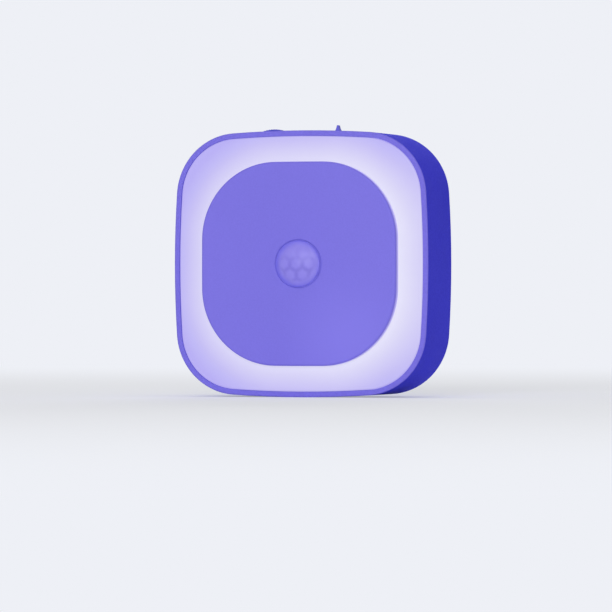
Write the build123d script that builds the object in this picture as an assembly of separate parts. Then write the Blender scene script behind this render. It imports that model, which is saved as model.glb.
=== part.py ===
from build123d import *
import os
from math import atan2, cos, hypot, pi, radians, sin, sqrt

# Plug-in night light with a motion sensor. A bowed square body carries two plug blades
# on its back and a lit ring around a raised centre panel on its front. The sensor looks
# out through a honeycomb lens in the panel. A three-position mode slider and a dimmer
# thumbwheel stand out of the top wall.
#
# Millimetres, +Z up, the front faces -Y. The origin is on the rear face, midway between
# the blades. A "level" is a distance forward of the rear face. In a level's plane, local
# x runs to the right seen from the front and local y runs up from the body's centre.

# Body outline and walls
body_half = 27.5
body_corner_radius = 13.15
body_side_radius = 231.0
blade_margin = 14.5
rim_level = 17.0
wall = 1.8
rim_width = 1.1
rim_round = 0.3
rear_break = 0.3

# Clearances
snug_gap = 0.01
seat_gap = 0.05
turn_gap = 0.05
slide_gap = 0.1
lead_gap = 0.1
slot_gap = 0.25
wheel_gap = 0.4
board_gap = 0.4

# Back cover
cover_thickness = 2.0
cover_land = 1.0
cover_break = 0.25
hook_width = 4.0
hook_thickness = 1.0
hook_barb = 0.5
hook_barb_height = 1.0
hook_land = 0.3
cover_hook_length = 4.5
cover_hook_spread = 8.0

# Lit ring and centre panel
diffuser_thickness = 1.6
diffuser_setback = 0.1
diffuser_round = 0.3
diffuser_hook_length = 3.0
diffuser_hook_spread = 9.0
shelf_width = 2.5
panel_margin = 6.46
panel_corner_radius = 16.0
panel_side_radius = 700.0
panel_proud = 1.5
panel_pocket = 0.5
panel_round = 0.45
panel_skin = 1.4
panel_seat_rib = 0.8
rib_width = 1.2
hub_radius = 8.5
peg_radius = 0.8
peg_head_radius = 1.25
peg_head_height = 0.5

# Sensor lens
lens_radius = 4.8
lens_ring_gap = 0.1
lens_mouth_round = 0.25
lens_rise = 1.3
lens_skin = 0.5
flange_radius = 6.2
flange_thickness = 0.6
lenslet_pitch = 2.7
lenslet_radius = 3.5
lenslet_rise = 0.2
lenslet_rings = 2
retainer_thickness = 0.8
retainer_lip = 1.3
retainer_grip = 1.0

# Circuit board and its posts
board_thickness = 1.2
light_chamber = 4.4
post_radius = 2.3
post_inset = 2.95
post_web = 1.2
screw_radius = 1.0
screw_length = 5.0
screw_head_radius = 1.9
screw_head_height = 1.3
screw_head_bevel = 0.5
screw_slot_width = 0.6
screw_slot_depth = 0.6
pilot_gap = 0.02

# Light-emitting chips under the panel's edge
led_count = 12
led_length = 3.5
led_width = 2.8
led_height = 0.8
led_inset = 1.0

# Motion sensor, light sensor and the tube around them
can_radius = 4.125
can_height = 4.2
can_skin = 0.25
can_flange_radius = 4.575
can_flange_thickness = 0.4
window_width = 4.0
window_height = 3.0
window_overlap = 0.3
window_thickness = 0.4
header_thickness = 1.0
header_pin_circle = 2.54
header_pin_radius = 0.225
header_pin_tail = 1.0
baffle_bore = 6.6
baffle_skin = 0.8
baffle_foot = 1.2
baffle_foot_thickness = 0.8
baffle_peg_radius = 0.5
eye_width = 1.25
eye_length = 2.0
eye_height = 1.1
eye_round = 0.2

# Plug
blade_pitch = 12.7
blade_width = 6.35
blade_thickness = 1.52
blade_length = 16.5
blade_hole_radius = 1.6
blade_hole_reach = 11.9
blade_tip_cut = 1.2
blade_tip_bevel = 0.4
shoulder_width = 9.5
shoulder_depth = 2.0
tail_width = 3.0
tail_length = 2.2
saddle_length = 21.0
saddle_width = 13.0
saddle_height = 2.5
saddle_round = 1.5
clamp_thickness = 3.2
clamp_screw_offset = 3.5
clamp_screw_length = 6.5
spring_strip = 0.4
spring_width = 3.0
spring_foot = 3.6
spring_overlap = 0.8

# Mode slider
knob_x = 5.2
knob_travel = 2.0
ridge_width = 1.0
ridge_depth = 1.6
ridge_height = 1.3
ridge_taper = 13.0
ridge_round = 0.15
track_drop = 0.4
plate_length = 10.4
plate_depth = 4.8
plate_thickness = 1.0
rail_length = 11.2
rail_width = 0.9
rail_lip = 0.4
rail_lip_thickness = 0.7
fork_wall = 1.1
fork_height = 1.6
notch_margin = 0.8

# Slide switch under the knob
switch_width = 10.0
switch_height = 4.7
switch_length = 5.0
switch_skin = 0.4
switch_drop = 3.7
switch_base_thickness = 1.0
block_length = 4.6
block_thickness = 1.8
lever_width = 2.0
lever_depth = 1.6
wiper_strip = 0.3
wiper_width = 1.6
wiper_length = 3.6
switch_pin_count = 4
switch_pin_pitch = 2.0
switch_pin_width = 0.6
switch_pin_strip = 0.3
switch_pin_drop = 1.0

# Dimmer
dimmer_x = -9.0
wheel_radius = 8.0
wheel_proud = 0.8
wheel_thickness = 2.0
wheel_teeth = 48
wheel_tooth_depth = 0.3
wheel_edge_cut = 0.3
wheel_dish_inner = 3.2
wheel_dish_outer = 6.4
wheel_dish_depth = 0.6
dimmer_base_radius = 4.8
dimmer_base_thickness = 1.6
dimmer_gap = 0.5
tail_plate_width = 8.0
tail_plate_reach = 6.6
stop_inner = 3.6
stop_outer = 4.5
stop_width = 1.0
stop_height = 0.4
shaft_radius = 1.2
shaft_head_radius = 2.0
shaft_head_height = 0.6
shaft_head_bevel = 0.3
shaft_collar_radius = 1.8
contact_ring_radius = 2.8
contact_strip = 0.2
contact_arm_reach = 3.4
contact_arm_width = 0.9
contact_dimple_radius = 0.3
dimmer_pin_pitch = 2.5
dimmer_pin_width = 0.9
dimmer_pin_strip = 0.2
dimmer_pin_overlap = 1.2

# Parts on the back of the board. An edge gap is measured in from the board's edge, and
# any other gap from the part beside it.
film_size = (10.0, 4.5)
film_height = 7.0
film_round = 0.55
film_lead_pitch = 7.5
film_x = -8.0
film_z = 4.0
input_radius = 3.15
input_length = 11.0
input_bevel = 0.5
input_lead_pitch = 2.5
input_edge_gap = 3.15
input_z = 0.0
output_radius = 2.5
output_height = 7.0
output_bevel = 0.4
output_lead_pitch = 2.0
output_edge_gap = 2.6
output_z = -3.0
inductor_radius = 3.1
inductor_height = 6.0
inductor_cheek = 0.9
inductor_core_radius = 1.5
inductor_lead_pitch = 3.0
inductor_edge_gap = 5.7
inductor_z = 6.0
fuse_radius = 1.5
fuse_length = 7.0
fuse_cap = 1.2
fuse_waist_radius = 1.3
fuse_lead_pitch = 10.0
fuse_edge_gap = 2.0
varistor_radius = 3.4
varistor_thickness = 3.2
varistor_bevel = 0.8
varistor_lead_pitch = 5.0
varistor_edge_gap = 3.9
varistor_drop = 1.5
bridge_size = (4.7, 3.9)
bridge_height = 1.6
bridge_lead_count = 2
bridge_lead_pitch = 2.54
bridge_edge_gap = 4.95
driver_size = (4.9, 3.9)
driver_lead_count = 4
driver_gap = 4.15
driver_z = 5.0
controller_size = (9.9, 3.9)
controller_lead_count = 8
controller_gap = 2.95
controller_z = -3.2
chip_body_height = 1.45
chip_lead_pitch = 1.27
gull_width = 0.4
gull_strip = 0.2
gull_reach = 1.0
gull_foot = 0.6
resistors_per_row = 4
resistor_pitch = 3.2
resistor_size = (2.0, 1.25)
resistor_height = 0.5
resistor_gap = 1.85
upper_row_z = 11.4
lower_row_z = -3.6
lead_radius = 0.3
lead_rise = 0.8

# Levels and places that follow from the sizes above
body_rise = body_half - blade_margin
panel_half = body_half - panel_margin
ledge_level = rim_level - diffuser_thickness
board_front = ledge_level - light_chamber
board_back = board_front - board_thickness
panel_seat = rim_level - panel_pocket
panel_face = rim_level + panel_proud
retainer_back = panel_seat - retainer_thickness
saddle_top = cover_thickness + saddle_height
clamp_top = saddle_top + clamp_thickness
lens_bore = lens_radius - lens_skin
baffle_radius = baffle_bore + baffle_skin
blade_z = -body_rise
slider_level = board_back - switch_height / 2
track_z = body_half - wall - track_drop
plate_top = track_z - slide_gap
plate_bottom = plate_top - plate_thickness
switch_top = track_z - switch_drop
switch_bottom = switch_top - switch_length
dimmer_face = board_back - dimmer_base_thickness
wheel_front = dimmer_face - dimmer_gap
wheel_back = wheel_front - wheel_thickness

# Places of the board's parts, as x, z
board_reach = body_half - wall - board_gap
input_x = input_radius + input_edge_gap - board_reach
output_x = board_reach - output_edge_gap - output_radius
inductor_x = board_reach - inductor_edge_gap - inductor_radius
varistor_x = board_reach - varistor_edge_gap - varistor_radius
bridge_x = bridge_size[0] / 2 + bridge_edge_gap - board_reach
driver_x = inductor_x - inductor_radius - driver_gap - driver_size[0] / 2
controller_x = output_x - output_radius - controller_gap - controller_size[0] / 2
lower_row_x = input_x + input_radius + resistor_gap + resistor_size[0] / 2
input_at = (input_x, input_z)
film_at = (film_x, film_z)
output_at = (output_x, output_z)
inductor_at = (inductor_x, inductor_z)
fuse_at = (0, fuse_radius + fuse_edge_gap - board_reach)
varistor_at = (varistor_x, blade_z - varistor_drop)
bridge_at = (bridge_x, blade_z)
driver_at = (driver_x, driver_z)
controller_at = (controller_x, controller_z)
resistor_rows = ((driver_x, upper_row_z), (lower_row_x, lower_row_z))


# The plane at a level, with its origin on the body's axis.
def level(distance):
    return Plane(origin=(0, -distance, body_rise), x_dir=(1, 0, 0), z_dir=(0, -1, 0))


# A profile drawn in a level's plane, as a solid between two levels.
def slab(profile, start, end):
    return extrude(level(start) * profile, amount=end - start)


def pin(x, z, radius, start, end):
    return slab(Pos(x, z) * Circle(radius), start, end)


def ring(x, z, inner, outer, start, end):
    return slab(Pos(x, z) * (Circle(outer) - Circle(inner)), start, end)


def block(x, z, width, height, start, end):
    return slab(Pos(x, z) * Rectangle(width, height), start, end)


# A profile in a plane through the body's axis, extruded about that plane. Local x is the
# distance from the axis in the direction of turn, local y is the level. The plane is
# shifted along the wall that it crosses.
def cross_section(points, turn, along, width):
    turn = radians(turn)
    origin = (-sin(turn) * along, 0, body_rise + cos(turn) * along)
    plane = Plane(origin=origin, x_dir=(cos(turn), 0, sin(turn)), z_dir=(sin(turn), 0, -cos(turn)))
    return extrude(plane * Polygon(*points, align=None), amount=width / 2, both=True)


# Centre of a corner arc of a bowed square. It is the same for every inset outline.
def corner_centre(half, corner_radius, side_radius):
    side_centre = half - side_radius
    reach = side_radius - corner_radius
    return (side_centre + sqrt(2 * reach**2 - side_centre**2)) / 2


# A square whose four sides bow outward and run tangent into its corner arcs.
def bowed_square(half, corner_radius, side_radius):
    side_centre = half - side_radius
    centre = corner_centre(half, corner_radius, side_radius)
    turn = atan2(centre, centre - side_centre)
    x = side_centre + side_radius * cos(turn)
    z = side_radius * sin(turn)
    middle = centre + corner_radius * sqrt(0.5)
    side = ThreePointArc((x, -z), (half, 0), (x, z))
    corner = ThreePointArc((x, z), (middle, middle), (z, x))
    edges = []
    for quarter in range(4):
        edges += [Rot(Z=90 * quarter) * side, Rot(Z=90 * quarter) * corner]
    return Face(Wire(edges))


def body_outline(inset):
    return bowed_square(body_half - inset, body_corner_radius - inset, body_side_radius - inset)


def panel_outline(inset):
    return bowed_square(panel_half - inset, panel_corner_radius - inset, panel_side_radius - inset)


# Distance from the body's axis to the inner wall, at a distance along the side.
def wall_reach(along):
    return body_half - body_side_radius + sqrt((body_side_radius - wall) ** 2 - along**2)


# Four points on the diagonals.
def on_diagonals(reach):
    return [(reach * side, reach * end) for side in (1, -1) for end in (1, -1)]


def post_places():
    centre = corner_centre(body_half, body_corner_radius, body_side_radius)
    return on_diagonals(centre + (body_corner_radius - wall - post_inset) * sqrt(0.5))


def peg_places():
    centre = corner_centre(panel_half, panel_corner_radius, panel_side_radius)
    return on_diagonals(centre + (panel_corner_radius - shelf_width / 2) * sqrt(0.5))


def cover_hook_places():
    sides = [(turn, along) for turn in (0, 180, 270) for along in (1, -1)]
    return [(turn, along * cover_hook_spread) for turn, along in sides]


def diffuser_hook_places():
    sides = [(turn, along) for turn in (0, 90, 180, 270) for along in (1, -1)]
    return [(turn, along * diffuser_hook_spread) for turn, along in sides]


# Outer face of a hook's arm, just clear of the bowed wall.
def hook_face(along):
    return wall_reach(abs(along) + hook_width / 2) - slide_gap


# A snap hook: a straight arm along the wall, with a wedge that points outward at its tip.
def hook(turn, along, root, tip):
    way = 1 if tip > root else -1
    face = hook_face(along)
    latch = tip - way * hook_barb_height
    points = [
        (face - hook_thickness, root),
        (face, root),
        (face, latch),
        (face + hook_barb, latch),
        (face + hook_barb, latch + way * hook_land),
        (face, tip),
        (face - hook_thickness, tip),
    ]
    return cross_section(points, turn, along, hook_width)


# The pocket in the wall that a hook's wedge springs into.
def hook_pocket(turn, along, root, tip):
    way = 1 if tip > root else -1
    face = hook_face(along)
    near = tip - way * (hook_barb_height + slide_gap)
    far = tip + way * slide_gap
    depth = face + hook_barb + slide_gap
    points = [(face, near), (depth, near), (depth, far), (face, far)]
    return cross_section(points, turn, along, hook_width + 2 * slide_gap)


def cover_hook_tip():
    return cover_thickness + cover_hook_length


def diffuser_hook_tip():
    return ledge_level - diffuser_hook_length


# Square tube with a rebate at each end, posts for the board, and the slider's track.
def housing():
    shell = slab(body_outline(0), 0, rim_level)
    shell = fillet(shell.faces().sort_by(Axis.Y)[0].edges(), rim_round)
    shell = chamfer(shell.faces().sort_by(Axis.Y)[-1].edges(), rear_break)
    shell -= slab(body_outline(cover_land), 0, cover_thickness)
    shell -= slab(body_outline(wall), cover_thickness, ledge_level)
    shell -= slab(body_outline(rim_width), ledge_level, rim_level)
    for x, z in post_places():
        shell += board_post(x, z)
    for turn, along in cover_hook_places():
        shell -= hook_pocket(turn, along, cover_thickness, cover_hook_tip())
    for turn, along in diffuser_hook_places():
        shell -= hook_pocket(turn, along, ledge_level, diffuser_hook_tip())
    shell += slider_track()
    shell -= slider_slot()
    shell -= wheel_relief()
    return shell


def board_post(x, z):
    web_length = post_inset + wall / 2
    turn = atan2(z, x)
    web_place = Pos(x, z) * Rot(Z=turn * 180 / pi) * Pos(web_length / 2, 0)
    post = pin(x, z, post_radius, board_front, ledge_level)
    post += slab(web_place * Rectangle(web_length, post_web), board_front, ledge_level)
    post -= pin(x, z, screw_radius + pilot_gap, board_front, ledge_level - board_thickness / 2)
    return post


# Flat pad under the top wall, and two lipped rails that hold the knob's plate.
def slider_track():
    pad_top = body_half - wall / 2
    rail_face = plate_depth / 2 + slide_gap
    rail_bottom = plate_bottom - slide_gap - rail_lip_thickness
    reach = rail_face + rail_width
    track = block(
        knob_x,
        (rail_bottom + pad_top) / 2,
        rail_length,
        pad_top - rail_bottom,
        slider_level - reach,
        slider_level + reach,
    )
    track -= block(
        knob_x,
        (plate_bottom - slide_gap + track_z) / 2,
        rail_length,
        track_z - plate_bottom + slide_gap,
        slider_level - rail_face,
        slider_level + rail_face,
    )
    track -= block(
        knob_x,
        (rail_bottom + plate_bottom) / 2,
        rail_length,
        plate_bottom - rail_bottom,
        slider_level - rail_face + rail_lip,
        slider_level + rail_face - rail_lip,
    )
    return track


def slider_slot():
    width = ridge_width + 2 * (knob_travel + slot_gap)
    depth = ridge_depth / 2 + slot_gap
    middle = (track_z + body_half) / 2
    return block(knob_x, middle, width, body_half - track_z, slider_level - depth, slider_level + depth)


# Dimmer wheel centre, above the body's axis.
def wheel_centre():
    side_centre = body_half - body_side_radius
    surface = side_centre + sqrt(body_side_radius**2 - dimmer_x**2)
    return surface + wheel_proud - wheel_radius


# Room for the wheel, which leaves a slot where it passes through the top wall.
def wheel_relief():
    return pin(
        dimmer_x,
        wheel_centre(),
        wheel_radius + wheel_gap,
        wheel_back - wheel_gap,
        wheel_front + wheel_gap,
    )


# A bar with rounded ends that the blades pass through, under the clamp.
def saddle_profile():
    return Pos(0, blade_z) * RectangleRounded(saddle_length, saddle_width, saddle_round)


def blade_places():
    return [(-blade_pitch / 2, blade_z), (blade_pitch / 2, blade_z)]


def clamp_screw_places():
    return [(0, blade_z - clamp_screw_offset), (0, blade_z + clamp_screw_offset)]


# Slot in a level's plane that takes a blade of the given width.
def blade_slot(x, z, width, start, end):
    return block(x, z, blade_thickness + 2 * seat_gap, width + 2 * seat_gap, start, end)


def back_cover():
    cover = slab(body_outline(cover_land + seat_gap), 0, cover_thickness)
    cover = chamfer(cover.faces().sort_by(Axis.Y)[-1].edges(), cover_break)
    cover += slab(saddle_profile(), cover_thickness, saddle_top)
    for turn, along in cover_hook_places():
        cover += hook(turn, along, cover_thickness, cover_hook_tip())
    for x, z in blade_places():
        cover -= blade_slot(x, z, blade_width, 0, saddle_top)
    pilot_bottom = clamp_top - clamp_screw_length - pilot_gap
    for x, z in clamp_screw_places():
        cover -= pin(x, z, screw_radius + pilot_gap, pilot_bottom, saddle_top)
    return cover


# Flat blade with shoulders that the clamp holds down on the saddle, and a contact tail.
def plug_blade(x):
    plane = Plane.YZ.offset(x)
    shoulder_end = saddle_top + shoulder_depth
    length = blade_length + shoulder_end
    strip = Pos((blade_length - shoulder_end) / 2, 0) * Rectangle(length, blade_width)
    strip = chamfer(strip.vertices().group_by(Axis.X)[-1], blade_tip_cut)
    strip += Pos(-saddle_top - shoulder_depth / 2, 0) * Rectangle(shoulder_depth, shoulder_width)
    strip += Pos(-shoulder_end - tail_length / 2, 0) * Rectangle(tail_length, tail_width)
    strip -= Pos(blade_hole_reach, 0) * Circle(blade_hole_radius)
    blade = extrude(plane * strip, amount=blade_thickness / 2, both=True)
    tip = blade.faces().sort_by(Axis.Y)[-1]
    return chamfer(tip.edges().filter_by(Axis.Z), blade_tip_bevel)


def blade_clamp():
    clamp = slab(saddle_profile(), saddle_top, clamp_top)
    for x, z in blade_places():
        clamp -= blade_slot(x, z, shoulder_width, saddle_top, saddle_top + shoulder_depth)
        clamp -= blade_slot(x, z, tail_width, saddle_top, clamp_top)
    for x, z in clamp_screw_places():
        clamp -= pin(x, z, screw_radius + lead_gap, saddle_top, clamp_top)
    return clamp


# Pan-head screw. The head's seat is at one level and its shank runs on to another.
def pan_screw(x, z, seat, tip):
    way = 1 if tip > seat else -1
    top = seat - way * screw_head_height
    low, high = sorted((seat, top))
    head = pin(x, z, screw_head_radius, low, high)
    crown = head.faces().sort_by(Axis.Y)[0 if way < 0 else -1]
    head = chamfer(crown.edges(), screw_head_bevel)
    slot_low, slot_high = sorted((top, top + way * screw_slot_depth))
    head -= block(x, z, screw_slot_width, 2 * screw_head_radius, slot_low, slot_high)
    low, high = sorted((seat, tip))
    return head + pin(x, z, screw_radius, low, high)


def screws(places, seat, tip):
    return Compound(children=[pan_screw(x, z, seat, tip).solid() for x, z in places])


# Spring strip from a pad on the board to the outer side of a blade's tail.
def blade_contact(side):
    reach = blade_pitch / 2 + blade_thickness / 2
    end = saddle_top + shoulder_depth + tail_length - spring_overlap
    points = [
        (reach, end),
        (reach + spring_strip, end),
        (reach + spring_strip, board_back - spring_strip),
        (reach + spring_foot, board_back - spring_strip),
        (reach + spring_foot, board_back),
        (reach, board_back),
    ]
    return cross_section(points, 0 if side > 0 else 180, side * blade_z, spring_width)


# Milky ring with a stepped shelf that carries the panel, and snap hooks behind it.
def diffuser_ring():
    front = rim_level - diffuser_setback
    plate = slab(body_outline(rim_width + seat_gap), ledge_level, front)
    plate = fillet(plate.faces().sort_by(Axis.Y)[0].edges(), diffuser_round)
    plate -= slab(panel_outline(-seat_gap), panel_seat, rim_level)
    plate -= slab(panel_outline(shelf_width), ledge_level, panel_seat)
    for x, z in peg_places():
        plate -= pin(x, z, peg_radius + seat_gap, ledge_level, panel_seat)
    for turn, along in diffuser_hook_places():
        plate += hook(turn, along, ledge_level, diffuser_hook_tip())
    return plate


# Centre panel, cored from behind, with a hub for the lens and staked pegs.
def front_panel():
    panel = slab(panel_outline(0), panel_seat, panel_face)
    panel = fillet(panel.faces().sort_by(Axis.Y)[0].edges(), panel_round)
    core_front = panel_face - panel_skin
    core = slab(panel_outline(shelf_width + panel_seat_rib), panel_seat, core_front)
    core -= pin(0, 0, hub_radius, panel_seat, core_front)
    for turn in (45, 135):
        rib = Rot(Z=turn) * Rectangle(4 * panel_half, rib_width)
        core -= slab(rib, panel_seat, core_front)
    panel -= core
    panel -= pin(0, 0, flange_radius + seat_gap, panel_seat, panel_seat + flange_thickness)
    panel -= pin(0, 0, lens_radius + lens_ring_gap, panel_seat, panel_face)
    mouth = panel.faces().sort_by(Axis.Y)[0].edges().sort_by(SortBy.RADIUS)[0]
    panel = fillet(mouth, lens_mouth_round)
    for x, z in peg_places():
        panel += pin(x, z, peg_radius, ledge_level, panel_seat)
        panel += pin(x, z, peg_head_radius, ledge_level - peg_head_height, ledge_level)
    return panel


# Places of the lenslets on a hexagonal grid that reach into the lens's circle.
def lenslet_places():
    places = []
    steps = range(-lenslet_rings, lenslet_rings + 1)
    for column in steps:
        for row in steps:
            x = lenslet_pitch * (column + row / 2)
            z = lenslet_pitch * row * sqrt(0.75)
            if hypot(x, z) < lens_radius + lenslet_pitch / 3:
                places.append((x, z))
    return places


# Thin dome with a honeycomb of small lenses on it, a skirt and a flange. Neighbouring
# lenslets are balls that meet halfway, and that gives each its six edges.
def sensor_lens():
    ball_radius = (lens_radius**2 + lens_rise**2) / (2 * lens_rise)
    centre = level(panel_face + lens_rise - ball_radius)
    dome = centre * Rot(X=90) * Sphere(ball_radius)
    reach = ball_radius + lenslet_rise - lenslet_radius
    for x, z in lenslet_places():
        rise = sqrt(ball_radius**2 - x**2 - z**2)
        share = reach / ball_radius
        place = Pos(x * share, z * share, rise * share)
        dome += centre * place * Rot(X=90) * Sphere(lenslet_radius)
    flange_front = panel_seat + flange_thickness
    top = panel_face + lens_rise + lenslet_rise
    lens = dome & pin(0, 0, lens_radius, panel_seat, top)
    lens += pin(0, 0, flange_radius, panel_seat, flange_front)
    inside = centre * Rot(X=90) * Sphere(ball_radius - lens_skin)
    return lens - (inside & pin(0, 0, lens_bore, panel_seat, top))


def lens_retainer():
    inner = flange_radius - retainer_grip
    return ring(0, 0, inner, flange_radius + retainer_lip, retainer_back, panel_seat)


# Tube that keeps the ring's light off the sensor and presses the lens retainer home.
def sensor_baffle():
    foot_radius = baffle_radius + baffle_foot
    tube = ring(0, 0, baffle_bore, baffle_radius, board_front, retainer_back)
    tube += ring(0, 0, baffle_bore, foot_radius, board_front, board_front + baffle_foot_thickness)
    for x, z in baffle_peg_places():
        tube += pin(x, z, baffle_peg_radius, board_back, board_front)
    return tube


def baffle_peg_places():
    reach = (baffle_bore + baffle_radius + baffle_foot) / 2
    return [(0, reach), (0, -reach)]


def header_pin_places():
    turns = [radians(45 + 90 * step) for step in range(3)]
    return [(header_pin_circle * cos(turn), header_pin_circle * sin(turn)) for turn in turns]


# Leads that pass through the board, as x, z.
def lead_places():
    film_x, film_z = film_at
    input_x, input_z = input_at
    output_x, output_z = output_at
    inductor_x, inductor_z = inductor_at
    fuse_x, fuse_z = fuse_at
    varistor_x, varistor_z = varistor_at
    input_lead_z = input_z - input_length / 2 - lead_rise
    places = []
    for side in (-0.5, 0.5):
        places.append((film_x + side * film_lead_pitch, film_z))
        places.append((input_x + side * input_lead_pitch, input_lead_z))
        places.append((output_x + side * output_lead_pitch, output_z))
        places.append((inductor_x + side * inductor_lead_pitch, inductor_z))
        places.append((fuse_x + side * fuse_lead_pitch, fuse_z))
        places.append((varistor_x + side * varistor_lead_pitch, varistor_z))
    return places


# The two leads of one part: from a level behind the board to flush with its front.
def leads(x, z, pitch, start):
    pair = pin(x - pitch / 2, z, lead_radius, start, board_front)
    return pair + pin(x + pitch / 2, z, lead_radius, start, board_front)


def circuit_board():
    board = slab(body_outline(wall + board_gap), board_back, board_front)
    notch_width = plate_length + 2 * (knob_travel + notch_margin)
    notch_bottom = plate_bottom - slide_gap - rail_lip_thickness - notch_margin
    notch_height = body_half - notch_bottom
    notch_middle = notch_bottom + notch_height / 2
    board -= block(knob_x, notch_middle, notch_width, notch_height, board_back, board_front)
    for x, z in post_places():
        board -= pin(x, z, screw_radius + lead_gap, board_back, board_front)
    for x, z in header_pin_places():
        board -= pin(x, z, header_pin_radius + lead_gap, board_back, board_front)
    for x, z in baffle_peg_places():
        board -= pin(x, z, baffle_peg_radius + seat_gap, board_back, board_front)
    for x, z in lead_places():
        board -= pin(x, z, lead_radius + lead_gap, board_back, board_front)
    return board


# Evenly spaced along a path that follows the panel's edge.
def led_chips():
    path = panel_outline(led_inset).outer_wire()
    chips = []
    for step in range(led_count):
        share = (step + 0.5) / led_count
        point = path.position_at(share)
        along = path.tangent_at(share)
        turn = atan2(along.Y, along.X) * 180 / pi
        chip = Pos(point.X, point.Y) * Rot(Z=turn) * Rectangle(led_length, led_width)
        chips.append(slab(chip, board_front, board_front + led_height).solid())
    return Compound(children=chips)


# Metal cap with a square window, open towards the board.
def sensor_can():
    top = board_front + can_height
    flange_top = board_front + can_flange_thickness
    can = pin(0, 0, can_radius, board_front, top)
    can = chamfer(can.faces().sort_by(Axis.Y)[0].edges(), can_skin)
    can += pin(0, 0, can_flange_radius, board_front, flange_top)
    can -= pin(0, 0, can_radius - can_skin, board_front, top - can_skin)
    can -= block(0, 0, window_width, window_height, top - can_skin, top)
    return can


def sensor_window():
    front = board_front + can_height - can_skin
    width = window_width + 2 * window_overlap
    height = window_height + 2 * window_overlap
    return block(0, 0, width, height, front - window_thickness, front)


# Base disc that closes the can, with three pins through the board.
def sensor_header():
    header = pin(0, 0, can_radius - can_skin - snug_gap, board_front, board_front + header_thickness)
    for x, z in header_pin_places():
        header += pin(x, z, header_pin_radius, board_back - header_pin_tail, board_front)
    return header


def light_sensor():
    x = (can_flange_radius + baffle_bore) / 2
    top = board_front + eye_height
    eye = block(x, 0, eye_width, eye_length, board_front, top)
    return fillet(eye.faces().sort_by(Axis.Y)[0].edges(), eye_round)


# Tapered ridge on a neck, a plate that closes the slot from inside, and a fork for the
# lever.
def mode_knob():
    foot = Plane(origin=(knob_x, -slider_level, body_rise + body_half))
    knob = extrude(foot * Rectangle(ridge_width, ridge_depth), amount=ridge_height, taper=ridge_taper)
    knob = fillet(knob.faces().sort_by(Axis.Z)[-1].edges(), ridge_round)
    knob += block(
        knob_x,
        (plate_top + body_half) / 2,
        ridge_width,
        body_half - plate_top,
        slider_level - ridge_depth / 2,
        slider_level + ridge_depth / 2,
    )
    knob += block(
        knob_x,
        (plate_top + plate_bottom) / 2,
        plate_length,
        plate_thickness,
        slider_level - plate_depth / 2,
        slider_level + plate_depth / 2,
    )
    half_depth = lever_depth / 2 + seat_gap
    fork_width = lever_width + 2 * (seat_gap + fork_wall)
    fork_middle = plate_bottom - fork_height / 2
    fork_start = slider_level - half_depth
    fork_end = slider_level + half_depth
    fork = block(knob_x, fork_middle, fork_width, fork_height, fork_start, fork_end)
    fork -= block(
        knob_x, fork_middle, lever_width + 2 * seat_gap, fork_height, fork_start, fork_end
    )
    return knob + fork


# Folded metal shell of the switch, open below and slotted above for the lever.
def switch_frame():
    middle = (switch_top + switch_bottom) / 2
    inner_length = switch_length - switch_skin
    start = board_back - switch_height
    frame = block(knob_x, middle, switch_width, switch_length, start, board_back)
    frame -= block(
        knob_x,
        switch_bottom + inner_length / 2,
        switch_width - 2 * switch_skin,
        inner_length,
        start + switch_skin,
        board_back - switch_skin,
    )
    slot_width = lever_width + 2 * (knob_travel + slot_gap)
    slot_half = lever_depth / 2 + slot_gap
    frame -= block(
        knob_x,
        switch_top - switch_skin / 2,
        slot_width,
        switch_skin,
        slider_level - slot_half,
        slider_level + slot_half,
    )
    return frame


def switch_pin_places():
    first = -(switch_pin_count - 1) / 2
    return [knob_x + switch_pin_pitch * (first + step) for step in range(switch_pin_count)]


def switch_base():
    inset = switch_skin + snug_gap
    return block(
        knob_x,
        switch_bottom + switch_base_thickness / 2,
        switch_width - 2 * inset,
        switch_base_thickness,
        board_back - switch_height + inset,
        board_back - inset,
    )


# Pins that leave the base downward and turn to the board.
def switch_terminals():
    low = switch_bottom - switch_pin_drop
    strip = switch_pin_strip
    points = [
        (switch_bottom, slider_level - strip / 2),
        (switch_bottom, slider_level + strip / 2),
        (low + strip, slider_level + strip / 2),
        (low + strip, board_back),
        (low, board_back),
        (low, slider_level - strip / 2),
    ]
    return Compound(
        children=[cross_section(points, 90, -x, switch_pin_width).solid() for x in switch_pin_places()]
    )


# Block inside the switch, with the lever that reaches into the knob's fork.
def switch_slider():
    block_top = switch_top - switch_skin - slide_gap
    lever_top = plate_bottom - seat_gap
    inset = switch_skin + slide_gap
    slider = block(
        knob_x,
        block_top - block_thickness / 2,
        block_length,
        block_thickness,
        board_back - switch_height + inset,
        board_back - inset,
    )
    slider += block(
        knob_x,
        (block_top + lever_top) / 2,
        lever_width,
        lever_top - block_top,
        slider_level - lever_depth / 2,
        slider_level + lever_depth / 2,
    )
    return slider


# Bridge contact under the switch's block, with two feet that ride on the base.
def switch_wiper():
    top = switch_top - switch_skin - slide_gap - block_thickness
    low = switch_bottom + switch_base_thickness + slide_gap
    half = wiper_length / 2
    points = [
        (top, -half),
        (low, -half),
        (low, wiper_strip - half),
        (top - wiper_strip, 2 * wiper_strip - half),
        (top - wiper_strip, half - 2 * wiper_strip),
        (low, half - wiper_strip),
        (low, half),
        (top, half),
    ]
    profile = Polygon(*[(knob_x + across, z) for z, across in points], align=None)
    return slab(profile, slider_level - wiper_width / 2, slider_level + wiper_width / 2)


# Zigzag outline of the thumbwheel's grip.
def wheel_outline():
    points = []
    for step in range(2 * wheel_teeth):
        radius = wheel_radius - wheel_tooth_depth * (step % 2)
        turn = pi * step / wheel_teeth
        points.append((radius * cos(turn), radius * sin(turn)))
    return Polygon(*points, align=None)


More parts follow.
